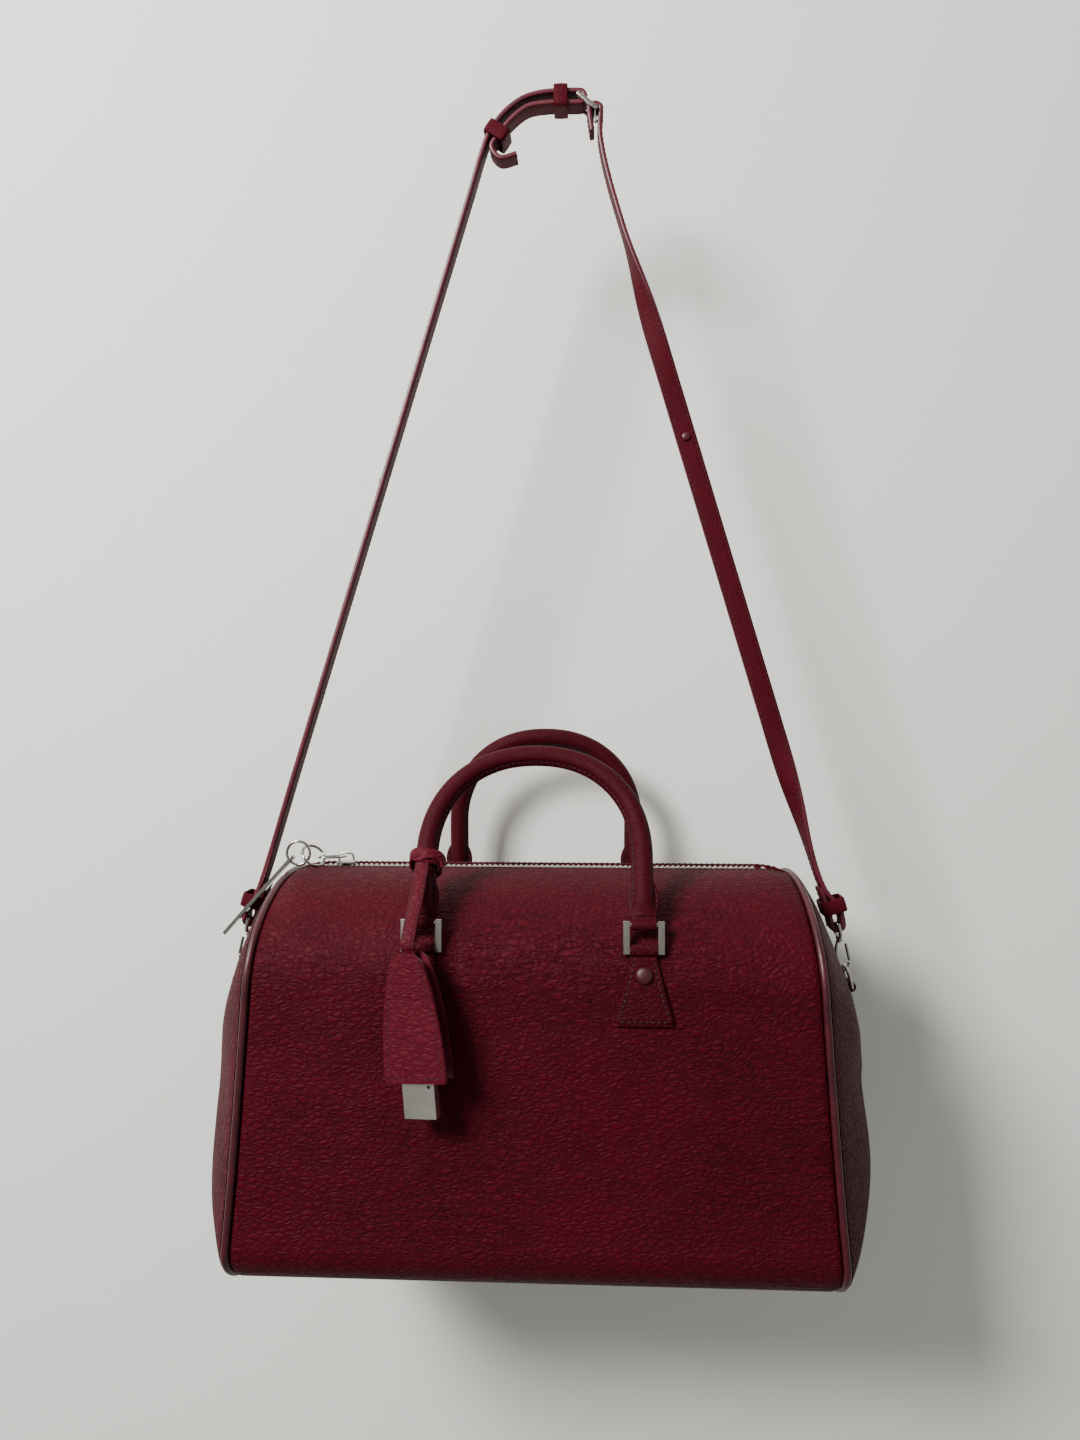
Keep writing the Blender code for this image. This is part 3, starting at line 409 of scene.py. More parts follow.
def leather(name, dark, light, cell, wrinkle, depth, rough):
    """Pebbled leather: cells with creases between them, and longer wrinkles that run level."""
    paint, tree, shader = new_paint(name)
    place = mapped(tree, (cell * 0.75, cell, cell * 1.25), (0.0, 0.10, 0.0))
    warp = node(tree, "ShaderNodeTexNoise", Scale=0.5, Detail=2.0)
    tree.links.new(place, warp.inputs["Vector"])
    bent = tree.nodes.new("ShaderNodeVectorMath")
    bent.operation = "MULTIPLY_ADD"
    bent.inputs[1].default_value = (1.6, 1.6, 1.6)
    tree.links.new(warp.outputs["Color"], bent.inputs[0])
    tree.links.new(place, bent.inputs[2])
    cells = tree.nodes.new("ShaderNodeTexVoronoi")
    cells.feature = "DISTANCE_TO_EDGE"
    cells.inputs["Scale"].default_value = 1.0
    tree.links.new(bent.outputs[0], cells.inputs["Vector"])
    pebble = ramp(tree, cells.outputs["Distance"], 0.0, 0.34)
    folds = noise_value(tree, mapped(tree, (70, 70, 330), (0.0, 0.12, 0.0)), 3.0, 0.55, 0.9)
    ridge = math_node(tree, "ABSOLUTE", math_node(tree, "SUBTRACT", folds, 0.5), None)
    crease = ramp(tree, ridge, 0.0, 0.050)
    broad = ramp(tree, noise_value(tree, mapped(tree, (11, 11, 20)), 3.0, 0.55), 0.36, 0.58)
    gone = math_node(tree, "SUBTRACT", 1.0, broad)
    crease = math_node(tree, "SUBTRACT", 1.0, math_node(tree, "MULTIPLY", math_node(
        tree, "SUBTRACT", 1.0, crease), gone))
    lumps = noise_value(tree, mapped(tree, (110, 110, 170)), 3.0, 0.6)
    height = math_node(tree, "ADD", pebble, math_node(tree, "MULTIPLY", crease, wrinkle))
    height = math_node(tree, "ADD", height, math_node(tree, "MULTIPLY", lumps, 1.4))
    bump(tree, shader, height, depth)
    # Colour follows the grain's height: cell middles lighter, cell edges and creases darker. This is
    # painted shade in the grain's hollows and painted highlight on the cell tops; the same value also
    # sets the roughness.
    tone = math_node(tree, "MULTIPLY", math_node(tree, "ADD", math_node(
        tree, "MULTIPLY", pebble, 0.55), 0.45), math_node(tree, "ADD", math_node(
            tree, "MULTIPLY", crease, 0.5), 0.5))
    shade = mix_colour(tree, tone, dark, light)
    # Lighter patches at random are wear; the colour that comes out also carries the painted crease shade
    # and highlight.
    worn = ramp(tree, noise_value(tree, mapped(tree, (30, 30, 55)), 4.0, 0.6), 0.35, 0.75)
    crease_shade_and_wear = mix_colour(tree, math_node(tree, "MULTIPLY", worn, 0.3), shade,
                       tuple(c * 1.15 for c in light))
    tree.links.new(crease_shade_and_wear, shader.inputs["Base Color"])
    tree.links.new(ramp(tree, tone, 0.0, 1.0, min(1.0, rough + 0.15), rough),
                   shader.inputs["Roughness"])
    shader.inputs["Specular IOR Level"].default_value = 0.09
    return paint


def plain(name, colour, rough, metallic=0.0, grain=900.0, depth=0.00004, vary=0.12, coat=0.0):
    """A nearly plain finish with fine grain and a slight change of tone."""
    paint, tree, shader = new_paint(name)
    fine = noise_value(tree, mapped(tree, (grain, grain, grain)), 3.0, 0.6)
    broad = noise_value(tree, mapped(tree, (60, 60, 60)), 3.0, 0.6)
    tone = ramp(tree, broad, 0.3, 0.7)
    tree.links.new(mix_colour(tree, tone, tuple(c * (1 - vary) for c in colour),
                              tuple(min(1.0, c * (1 + vary)) for c in colour)),
                   shader.inputs["Base Color"])
    tree.links.new(ramp(tree, fine, 0.25, 0.75, rough * 0.85, min(1.0, rough * 1.15)),
                   shader.inputs["Roughness"])
    bump(tree, shader, fine, depth)
    shader.inputs["Metallic"].default_value = metallic
    shader.inputs["Coat Weight"].default_value = coat
    return paint


def woven(name, colour, threads, depth, rough=0.85):
    """Cloth: crossed threads from two waves."""
    paint, tree, shader = new_paint(name)
    crossed = []
    for direction in ("X", "Y", "Z"):
        wave = tree.nodes.new("ShaderNodeTexWave")
        wave.bands_direction = direction
        wave.inputs["Scale"].default_value = 1.0
        wave.inputs["Distortion"].default_value = 0.4
        tree.links.new(mapped(tree, (threads,) * 3), wave.inputs["Vector"])
        crossed.append(wave.outputs["Fac"])
    weave = math_node(tree, "MULTIPLY", crossed[0], math_node(tree, "ADD", crossed[1], crossed[2]))
    bump(tree, shader, weave, depth)
    # The colour is darker where the weave is low: painted shade between the threads.
    tree.links.new(mix_colour(tree, weave, tuple(c * 0.6 for c in colour), colour),
                   shader.inputs["Base Color"])
    shader.inputs["Roughness"].default_value = rough
    return paint


GRAIN = leather("burgundy grained leather", (0.0240, 0.0004, 0.0030), (0.066, 0.0013, 0.0076),
                300.0, 1.0, 0.00030, 0.56)
TABS = leather("burgundy tab leather", (0.0200, 0.0004, 0.0024), (0.062, 0.0014, 0.0070),
               430.0, 0.8, 0.00028, 0.56)
ROLL = leather("burgundy smooth leather", (0.030, 0.0006, 0.0034), (0.050, 0.0012, 0.0062),
               800.0, 0.35, 0.00012, 0.50)
STRAPS = leather("burgundy strap leather", (0.042, 0.0009, 0.0044), (0.070, 0.0020, 0.0086),
                 760.0, 0.35, 0.00014, 0.52)
CHARM = leather("burgundy bell leather", (0.050, 0.0010, 0.0058), (0.092, 0.0070, 0.0165),
                280.0, 0.4, 0.00024, 0.50)
PIPE = plain("burgundy piping", (0.046, 0.0010, 0.0058), 0.44, 0.0, 500.0, 0.00008, 0.3)
EDGE = plain("painted leather edge", (0.088, 0.0060, 0.0170), 0.40, 0.0, 500.0, 0.00008, 0.2)
THREAD = plain("burgundy thread", (0.016, 0.0006, 0.0020), 0.70, 0.0, 2600.0, 0.00010, 0.2)
NICKEL = plain("satin nickel", (0.50, 0.475, 0.435), 0.26, 1.0, 700.0, 0.000002, 0.06)
BRIGHT = plain("polished nickel", (0.42, 0.40, 0.37), 0.18, 1.0, 700.0, 0.000001, 0.06)
LOCK = plain("brushed padlock", (0.72, 0.685, 0.63), 0.32, 1.0, 900.0, 0.000004, 0.10)
TAPE = woven("zip tape cloth", (0.040, 0.0030, 0.0080), 5200.0, 0.00012)
CLOTH = woven("lining cloth", (0.120, 0.085, 0.075), 3600.0, 0.00012)
BOARD = woven("stiffener cloth", (0.060, 0.050, 0.045), 2400.0, 0.00012)
# Near-black paint for a flat disc on the padlock: painted shade standing in for the keyhole's depth.
KEYHOLE_SHADE = plain("painted keyhole shade", (0.010, 0.010, 0.010), 0.7)


# ---------------------------------------------------------------- the bag's form
def half_width(height):
    upper = BOTTOM_WIDTH + (TOP_WIDTH - BOTTOM_WIDTH) * (height / BODY_HEIGHT) ** 0.75
    corner = math.sqrt(max(0.0, 1 - (1 - min(height / BASE_CORNER, 1.0)) ** 2))
    return UNDER_WIDTH + (upper - UNDER_WIDTH) * corner


def profile(t):
    """Half depth and height on the section, t from 0 mid-underside to 1 at the ridge."""
    if t < 0.22:
        return BASE_FLAT * t / 0.22, 0.0
    if t < 0.34:
        turn = (t - 0.22) / 0.12 * math.pi / 2
        return (BASE_FLAT + BASE_CORNER * math.sin(turn), BASE_CORNER * (1 - math.cos(turn)))
    if t < 0.66:
        part = (t - 0.34) / 0.32
        return (SIDE_DEPTH + (WAIST_DEPTH - SIDE_DEPTH) * part,
                BASE_CORNER + (SHOULDER_H - BASE_CORNER) * part)
    turn = (t - 0.66) / 0.34 * math.pi / 2
    power = 2 / SHOULDER_POWER
    return (WAIST_DEPTH * max(0.0, math.cos(turn)) ** power,
            SHOULDER_H + (BODY_HEIGHT - SHOULDER_H) * math.sin(turn) ** power)


def profile_normal(t):
    before = profile(max(0.0, t - 0.004))
    after = profile(min(1.0, t + 0.004))
    along = Vector((after[0] - before[0], after[1] - before[1])).normalized()
    return along.y, -along.x


def profile_at(value, which, low=0.34):
    """The t where the section's half depth (0) or height (1) has this value."""
    high = 1.0
    for _ in range(40):
        middle = (low + high) / 2
        here = profile(middle)[which]
        if (here > value) == (which == 0):
            low = middle
        else:
            high = middle
    return low


def ridge_drop(x, height):
    near_top = smoothstep(SHOULDER_H, BODY_HEIGHT, height)
    return END_DROP * near_top * max(0.0, (abs(x) - END_START) / (TOP_WIDTH - END_START)) ** 2


def slump(x, side, height):
    """How far the soft leather has sunk in at a place: nothing at the seams and under tabs."""
    edge = smoothstep(0.0, 0.030, half_width(height) - abs(x))
    low = smoothstep(0.012, 0.050, height) * (1 - smoothstep(0.186, 0.200, height))
    tab = 1.0
    for end in (-1, 1):
        away = math.hypot((x - end * HANDLE_X) / 1.2, height - 0.160)
        tab = min(tab, smoothstep(0.018, 0.042, away))
    wave = noise.noise(Vector((x * 13, side * 3.0, height * 21))) * 0.6
    wave += noise.noise(Vector((x * 30, side * 7.0 + 4, height * 62))) * 0.22
    return -max(0.0, 0.45 + wave) * 0.0016 * edge * low * tab


def skin_point(x, side, t, lift=0.0, soft=True):
    """A point on the body's outer skin, lifted along its normal."""
    depth, height = profile(t)
    normal = profile_normal(t)
    if soft:
        lift = lift + slump(x, side, height)
    return Vector((x, side * (depth + lift * normal[0]),
                   BASE_Z + height + lift * normal[1] - ridge_drop(x, height)))


def skin_out(side, t):
    normal = profile_normal(t)
    return Vector((0, side * normal[0], normal[1]))


# ---------------------------------------------------------------- shell
def body_panel(name, side):
    """A front or back panel: leather with turned edges along the zip."""
    first = 0.22 * BASE_SEAM / BASE_FLAT + 0.002
    last = profile_at(ZIP_EDGE, 0, 0.66)
    steps = [first, 0.22] + [0.22 + 0.12 * k / 9 for k in range(1, 10)]
    steps += [0.34 + 0.32 * k / 56 for k in range(1, 57)]
    steps += [0.66 + (last - 0.66) * k / 50 for k in range(1, 51)]
    parts = [-1, -0.996, -0.988] + [-0.975 + 1.95 * k / 110 for k in range(111)] + [0.988, 0.996, 1]
    rings = []
    for t in steps:
        height = profile(t)[1]
        limit = half_width(height) - SEAM
        outer, inner = [], []
        for part in parts:
            tuck = -0.0007 * smoothstep(0.985, 1.0, abs(part)) ** 2
            outer.append(skin_point(part * limit, side, t, tuck))
            inner.append(skin_point(part * limit, side, t, -SKIN))
        rings.append(outer + list(reversed(inner)))
    build = bmesh.new()
    skin_rings(build, rings)
    panel = put(finish_mesh(name + "_leather", build, GRAIN, 50), "bag", "grained_leather", name)
    rows = []
    t = profile_at(ZIP_EDGE + 0.0028, 0, 0.66)
    reach = half_width(profile(t)[1]) - 0.006
    line = [skin_point(lerp(-reach, reach, k / 90), side, t, 0.0001) for k in range(91)]
    rows.append((line, [skin_out(side, t)] * 91))
    put(stitches(f"{name}_zip_stitching", rows, 0.0032, 0.00034), "bag", "smooth_leather")
    return panel


def boundary(count):
    """(side, t) stations round the whole section, evenly spaced by length."""
    fine = [(-1, k / 400) for k in range(401)] + [(1, 1 - k / 400) for k in range(1, 400)]
    places = [Vector((side * profile(t)[0], profile(t)[1])) for side, t in fine]
    lengths = [0.0]
    for a, b in zip(places, places[1:] + places[:1]):
        lengths.append(lengths[-1] + (b - a).length)
    picked = []
    i = 0
    for k in range(count):
        want = lengths[-1] * k / count
        while lengths[i + 1] < want:
            i += 1
        picked.append(fine[i])
    return picked


def gusset_x(width, reach):
    base = width + (GUSSET_CENTRE_X - width) * reach
    return base + GUSSET_BULGE * (1 - (1 - reach) ** 2) ** 0.95


def gusset_point(end, side, t, reach, inset, soft=True):
    depth, height = profile(t)
    width = half_width(height) + SEAM
    normal = profile_normal(t)
    lift = 0.0016 * (1 - smoothstep(0, 0.03, height))
    depth = depth - inset * normal[0] * (1 - reach)
    height = height - inset * normal[1] * (1 - reach) + lift
    y = side * depth * (1 - reach)
    h = GUSSET_CENTRE_H + (height - GUSSET_CENTRE_H) * (1 - reach)
    x = gusset_x(width, reach) - inset * min(1.0, reach * 3)
    if soft:
        away = smoothstep(0.02, 0.2, reach) * smoothstep(0.012, 0.03, abs(y) + max(0, 0.10 - h))
        wave = noise.noise(Vector((end * 5, y * 24, h * 26)))
        x -= 0.0015 * away * max(0.0, 0.4 + wave)
    drop = ridge_drop(TOP_WIDTH, height) * (1 - reach)
    return Vector((end * x, y, BASE_Z + h - drop))


def gusset(name, end):
    """A domed end of one leather piece, its edge turned into the piping's seam."""
    build = bmesh.new()
    reaches = [0.0, 0.012, 0.03, 0.055, 0.09, 0.13, 0.18, 0.24, 0.31, 0.39, 0.48, 0.58, 0.69, 0.8,
               0.9]
    loop = boundary(150)
    count = len(loop)
    sheets = []
    for inset in (0.0, SKIN):
        rows = [[build.verts.new(gusset_point(end, side, t, reach, inset)) for side, t in loop]
                for reach in reaches]
        tip = build.verts.new(gusset_point(end, 1, 0.5, 1.0, inset))
        sheets.append(rows)
        for lower, upper in zip(rows, rows[1:]):
            for i in range(count):
                j = (i + 1) % count
                build.faces.new((lower[i], lower[j], upper[j], upper[i]))
        for i in range(count):
            build.faces.new((rows[-1][i], rows[-1][(i + 1) % count], tip))
    outer, inner = sheets[0][0], sheets[1][0]
    for i in range(count):
        j = (i + 1) % count
        build.faces.new((outer[i], outer[j], inner[j], inner[i]))
    put(finish_mesh(f"gusset_{name}_leather", build, GRAIN, 60), "bag", "grained_leather",
        f"gusset_{name}")


def piping(name, end):
    """The shiny welt cord."""
    points = []
    for side, t in boundary(220):
        depth, height = profile(t)
        lift = PIPING_R * (1 - smoothstep(0, 0.03, height))
        points.append(Vector((end * half_width(height), side * depth,
                              BASE_Z + height + lift - ridge_drop(end * half_width(height),
                                                                  height + lift))))
    def swell(i):
        size = 1.0 + 0.035 * noise.noise(points[i] * 160)
        return size, size
    cord = sweep(f"piping_{name}_cord", PIPE, points, round_section(PIPING_R, 16),
                 Vector((1, 0, 0)), True, None, swell, 80)
    put(cord, "bag", "smooth_leather", f"piping_{name}")


def base():
    """The flat leather base with its stitched edge."""
    build = bmesh.new()
    size = (2 * (UNDER_WIDTH - SEAM), 2 * (BASE_SEAM - 0.0003), SKIN)
    box_at(build, Vector((0, 0, BASE_Z + SKIN / 2)), size, None, 0.0006)
    put(finish_mesh("base_leather", build, GRAIN), "bag", "grained_leather", "base_panel")
    half_x, half_y = size[0] / 2 - 0.004, size[1] / 2 - 0.003
    rows = []
    down = Vector((0, 0, -1))
    for y in (-half_y, half_y):
        line = [Vector((lerp(-half_x, half_x, k / 40), y, BASE_Z + 0.0002)) for k in range(41)]
        rows.append((line, [down] * 41))
    put(stitches("base_stitching", rows, 0.0034, 0.0002), "bag", "smooth_leather")


# ---------------------------------------------------------------- zip
def zip_tapes():
    """Woven tapes beside the teeth, under the panels' turned edges."""
    for name, side in (("front", -1), ("back", 1)):
        rings = []
        for k in range(61):
            x = lerp(-ZIP_END - 0.003, ZIP_END + 0.003, k / 60)
            inner, outer = side * 0.0028, side * TAPE_OUT
            low, high = 0.2007, 0.2014
            rings.append([at(x, inner, low), at(x, outer, low), at(x, outer, high),
                          at(x, inner, high)])
        build = bmesh.new()
        skin_rings(build, rings)
        put(finish_mesh(f"zip_tape_{name}_cloth", build, TAPE), "bag", "zip_tape",
            f"zip_tape_{name}")


def zip_teeth():
    """Single cast teeth in two rows that mesh, each a small head on one wider block."""
    pitch = 0.0030
    for name, side in (("front", -1), ("back", 1)):
        build = bmesh.new()
        count = int((2 * ZIP_END - 0.008) / pitch)
        shift = 0.0 if side < 0 else pitch / 2
        for k in range(count):
            x = -ZIP_END + 0.0045 + pitch * k + shift
            if abs(x - SLIDER_X) < 0.0022:
                continue
            middle = (TEETH_LOW + TEETH_HIGH) / 2
            box_at(build, at(x, side * 0.00235, middle), (0.00175, 0.0030, 0.0034), None, 0.00035, 1)
            box_at(build, at(x, side * 0.00040, middle), (0.00120, 0.0016, 0.0026), None, 0.00035, 1)
        put(finish_mesh(f"zip_teeth_{name}_cast", build, NICKEL), "bag", "nickel",
            f"zip_teeth_{name}")


# ---------------------------------------------------------------- handles
def lower_bar(side, end):
    depth = profile(profile_at(RING_H, 1))[0]
    return at(end * HANDLE_X, side * (depth + RING_OUT), RING_H)


def upper_bar(side, end):
    return lower_bar(side, end) + Vector((0, -side * RING_TALL * RING_LEAN, RING_TALL))


def corner_name(side, end):
    return f"{'front' if side < 0 else 'back'}_{'left' if end < 0 else 'right'}"


def handle_ring(side, end):
    """A cast rectangular ring: two flat upright sides joined by round bars."""
    name = corner_name(side, end)
    low, high = lower_bar(side, end), upper_bar(side, end)
    rise = (high - low).normalized()
    middle = (low + high) / 2
    half = RING_W / 2 - 0.0017
    turn = Matrix.Rotation(math.atan2(-rise.y, rise.z), 4, "X")
    build = bmesh.new()
    for part in (-1, 1):
        box_at(build, middle + Vector((part * half, 0, 0)), (0.0034, 0.0026, RING_TALL + 0.0040),
               turn, 0.00045, 3)
    for bar in (low, high):
        rod_at(build, bar, (1, 0, 0), RING_BAR, 2 * half + 0.001, 20)
    put(finish_mesh(f"ring_{name}_metal", build, NICKEL, 30),
        "front_rings" if side < 0 else "back_rings", "nickel", f"handle_ring_{name}")


def handle_tab(side, end):
    """A stitched leather tab with a rolled loop round the ring's lower bar."""
    name = corner_name(side, end)
    rings, line = [], []
    for k in range(29):
        share = k / 28
        height = lerp(TAB_TOP_H, TAB_FOOT_H, share)
        t = profile_at(height, 1)
        foot = smoothstep(0.86, 1.0, share)
        half = lerp(TAB_TOP_HALF, TAB_FOOT_HALF, share ** 1.1) - 0.0012 * foot
        base = skin_point(end * HANDLE_X, side, t, GAP, False)
        out = skin_out(side, t)
        thick = TAB_THICK * (1 - 0.35 * smoothstep(0.9, 1.0, share))
        ring = [base + Vector((-half, 0, 0)), base + Vector((half, 0, 0))]
        for part, lift in ((1.0, 0.72), (0.97, 0.94), (0.90, 1.0), (0.80, 0.94), (0.68, 1.06),
                           (0.3, 1.12), (-0.3, 1.12), (-0.68, 1.06), (-0.80, 0.94), (-0.90, 1.0),
                           (-0.97, 0.94), (-1.0, 0.72)):
            ring.append(base + Vector((half * part, 0, 0)) + out * thick * lift)
        rings.append(ring)
        line.append((base, out, half))
    build = bmesh.new()
    skin_rings(build, rings)
    centre = lower_bar(side, end)
    top_out = skin_out(side, profile_at(TAB_TOP_H, 1))
    wrap = []
    for k in range(25):
        angle = math.radians(lerp(-95, 235, k / 24))
        flat = Vector((0, side * math.cos(angle), math.sin(angle)))
        wrap.append(centre + flat * (RING_BAR + 0.0011))
    foot = skin_point(end * HANDLE_X, side, profile_at(TAB_TOP_H - 0.002, 1), GAP, False)
    wrap = [foot + top_out * (TAB_THICK * 0.72)] + wrap
    wrap.append(skin_point(end * HANDLE_X, side, profile_at(TAB_TOP_H, 1), 0.0010, False))
    section = flat_section(TAB_TOP_HALF, 0.0007, edge=0.97)
    skin_rings(build, sweep_rings(wrap, section, Vector((1, 0, 0))))
    put(finish_mesh(f"tab_{name}_leather", build, TABS, 45), "bag", "smooth_leather",
        f"handle_tab_{name}")
    build = bmesh.new()
    for part in (-1, 1):
        points = [base + Vector((part * (half - 0.0021), 0, 0)) + out * (TAB_THICK * 0.95)
                  for base, out, half in line[1:-2]]
        stitch_into(build, points, [out for _, out, _ in line[1:-2]], 0.0028, 0.00042)
    base, out, half = line[-3]
    points = [base + Vector((lerp(-half + 0.0022, half - 0.0022, k / 12), 0, 0))
              + out * (TAB_THICK * 0.95) for k in range(13)]
    stitch_into(build, points, [out] * 13, 0.0028, 0.00042)
    put(finish_mesh(f"tab_{name}_stitching", build, THREAD, 60), "bag", "smooth_leather")
    handle_stud(side, end, name)


def domed(name, paint, base, out, profile_rings, sides=28):
    turn = Vector((0, 0, 1)).rotation_difference(out).to_matrix()
    build = bmesh.new()
    skin_rings(build, [[base + turn @ Vector((r * math.cos(math.tau * k / sides),
                                              r * math.sin(math.tau * k / sides), h))
                        for k in range(sides)] for r, h in profile_rings])
    return finish_mesh(name, build, paint, 80)


def handle_stud(side, end, name):
    """The leather-covered domed rivet."""
    t = profile_at(STUD_H, 1)
    out = skin_out(side, t)
    base = skin_point(end * HANDLE_X, side, t, 0, False) + out * (TAB_THICK + 2 * GAP + 0.0002)
    rings = [(0.0040, -0.0006), (0.00425, 0.0001), (0.00420, 0.0006), (0.0037, 0.0011),
             (0.0029, 0.0015), (0.0018, 0.0017), (0.0007, 0.0018)]
    put(domed(f"stud_{name}_leather", PIPE, base, out, rings), "bag", "smooth_leather",
        f"handle_stud_{name}")


def handle(side, lean, apex_rise):
    """A rolled handle with its seam along the inside of the arch and flat stitched ends."""
    name = "front" if side < 0 else "back"
    foot = upper_bar(side, 1)
    up = Vector((0, -side * math.sin(lean), math.cos(lean)))
    arch = apex_rise - HANDLE_STRAIGHT
    rises = [0.0042 + (HANDLE_STRAIGHT * 0.8 - 0.0042) * k / 14 for k in range(15)]
    points = [foot + up * rise for rise in rises]
    for k in range(1, 80):
        angle = math.pi * k / 80
        x = HANDLE_X * math.copysign(abs(math.cos(angle)) ** ARCH_POWER, math.cos(angle))
        rise = HANDLE_STRAIGHT + arch * math.sin(angle) ** ARCH_POWER
        points.append(Vector((x, foot.y, foot.z)) + up * rise)
    points += [Vector((-foot.x, foot.y, foot.z)) + up * rise for rise in reversed(rises)]
    last = len(points) - 1
    across = Vector((0, up.z, -up.y))
    section = []
    for k in range(30):
        angle = math.tau * k / 30
        radius = HANDLE_R
        inside = abs(((angle - math.pi / 2 + math.pi) % math.tau) - math.pi)
        radius += 0.0011 * math.exp(-(inside / 0.16) ** 2) - 0.0005 * math.exp(
            -((inside - 0.42) / 0.14) ** 2)
        section.append((radius * math.cos(angle), radius * math.sin(angle)))

    def shape(i):
        near = min(i, last - i)
        flat = 1 - smoothstep(0.0, 5.0, near)
        soft = 0.012 * noise.noise(points[i] * 55)
        return 1.0 + soft - 0.55 * flat, 1.0 + soft + 0.34 * flat

    rolled = sweep(f"handle_{name}_roll", ROLL, points, section, across, False, None, shape, 60)
    body = "front_handle" if side < 0 else "back_handle"
    build = bmesh.new()
    leaf_rows = []
    for end in (-1, 1):
        centre = Vector((end * HANDLE_X, foot.y, foot.z))
        loop = [centre + up * 0.0080 + across * 0.0012]
        for k in range(21):
            angle = math.radians(lerp(75, -255, k / 20))
            loop.append(centre + (across * math.cos(angle) + up * math.sin(angle))
                        * (RING_BAR + 0.0010))
        loop.append(centre + up * 0.0080 - across * 0.0012)
        skin_rings(build, sweep_rings(loop, flat_section(0.0064, 0.0007), Vector((1, 0, 0))))
        leaf = smooth_path([Vector((rise, half, 0)) for rise, half in WING], 6)
        rings = []
        for spot in leaf:
            row = centre + up * spot.x
            rings.append([row + Vector((spot.y * a, 0, 0)) + across * b * 0.0012 for a, b in
                          ((-1, 0), (-0.97, -0.7), (-0.9, -1), (0.9, -1), (0.97, -0.7), (1, 0),
                           (0.97, 0.7), (0.9, 1), (-0.9, 1), (-0.97, 0.7))])
        skin_rings(build, rings)
        for part in (-1, 1):
            for face in (-1, 1):
                line = [centre + up * spot.x + Vector((part * (spot.y - 0.0016), 0, 0))
                        + across * face * 0.00115 for spot in leaf[5:]]
                leaf_rows.append((line, [across * face] * len(line)))
    flat = finish_mesh(f"handle_{name}_loops", build, ROLL, 45)
    put(rolled, body, "smooth_leather", f"handle_{name}")
    put(flat, body, "smooth_leather")
    build = bmesh.new()
    centres = points[4:-4]
    frames = frames_along(centres, across)
    for turn in (0.36, -0.36):
        line, outs = [], []
        for place, (_, level, normal) in zip(centres, frames):
            out = (normal * math.cos(turn) + level * math.sin(turn)).normalized()
            line.append(place + out * (HANDLE_R - 0.0002))
            outs.append(out)
        stitch_into(build, line, outs, 0.0030, 0.00030)
    for line, outs in leaf_rows:
        stitch_into(build, line, outs, 0.0026, 0.00032)
    for end in (-1, 1):
        centre = Vector((end * HANDLE_X, foot.y, foot.z))
        for face in (-1, 1):
            line = [centre + Vector((lerp(-0.0045, 0.0045, k / 6), 0, 0)) + up * 0.0070
                    + across * face * 0.0020 for k in range(7)]
            stitch_into(build, line, [across * face] * 7, 0.0022, 0.00028)
    put(finish_mesh(f"handle_{name}_stitching", build, THREAD, 60), body, "smooth_leather")


# ---------------------------------------------------------------- shoulder strap
ARCH = [(-0.0385, -0.0440), (-0.0332, -0.0260), (-0.0285, -0.0140), (-0.0205, -0.0035),
        (-0.0105, 0.0040), (0.0, 0.0072), (0.0120, 0.0080)]
BUCKLE = Vector((0.0225, 0, 0.0045))
SHORT_BAR = Vector((0.0315, 0, -0.0030))
TAIL = [(0.0120, 0.0014), (0.0040, 0.0014), (-0.0070, -0.0004), (-0.0165, -0.0075),
        (-0.0235, -0.0160), (-0.0275, -0.0225), (-0.0225, -0.0290), (-0.0130, -0.0270)]


def down_hook(end, distance, out=0.0, y=0.0):
    x = HOOK_X + distance * math.sin(HOOK_TILT) + out * math.cos(HOOK_TILT)
    z = HOOK_Z - distance * math.cos(HOOK_TILT) + out * math.sin(HOOK_TILT)
    return Vector((end * x, y, z))


def fold_knots(end):
    spots = [(-0.0018, 0.0070), (-0.0002, 0.0036)]
    knots = [Vector((end * (HOOK_X + FOLD_R + a - 0.0012), 0, HOOK_Z + b + 0.004)) for a, b in spots]
    for k in range(5):
        angle = math.pi * k / 4
        knots.append(Vector((end * (HOOK_X + FOLD_R * math.cos(angle)), 0,
                             HOOK_Z - FOLD_R * math.sin(angle))))
    knots.append(Vector((end * (HOOK_X - FOLD_R - 0.0018), 0, HOOK_Z + 0.0080)))
    knots.append(Vector((end * (HOOK_X - FOLD_R - 0.0060), 0, HOOK_Z + 0.0200)))
    return knots


def ribbon(name, points, twist, nodes, body="strap"):
    """A strap of two stitched layers with painted edges."""
    section = strap_section(STRAP_W, STRAP_T)
    strap = sweep(name, STRAPS, points, section, Vector((0, 1, 0)), False, twist, None, 60)
    strap.data.materials.append(EDGE)
    count = len(section)
    edge = {0, count - 1, count // 2 - 1, count // 2, 1, count // 2 - 2, count // 2 + 1, count - 2}
    for index, face in enumerate(strap.data.polygons):
        if index % count in edge and index < count * (len(points) - 1):
            face.material_index = 1
    put(strap, body, "smooth_leather", *nodes)
    rows = []
    for part in (-1, 1):
        for face in (-1, 1):
            line, outs = [], []
            for i, (tangent, level, normal) in enumerate(frames_along(points, Vector((0, 1, 0)))):
                angle = twist(i) if twist else 0.0
                wide = level * math.cos(angle) + normal * math.sin(angle)
                through = tangent.cross(wide)
                line.append(points[i] + wide * part * STRAP_W * 0.38
                            + through * face * STRAP_T * 0.43)
                outs.append(through * face)
            rows.append((line, outs))
    put(stitches(name + "_stitching", rows, 0.0030, 0.00030), body, "smooth_leather")


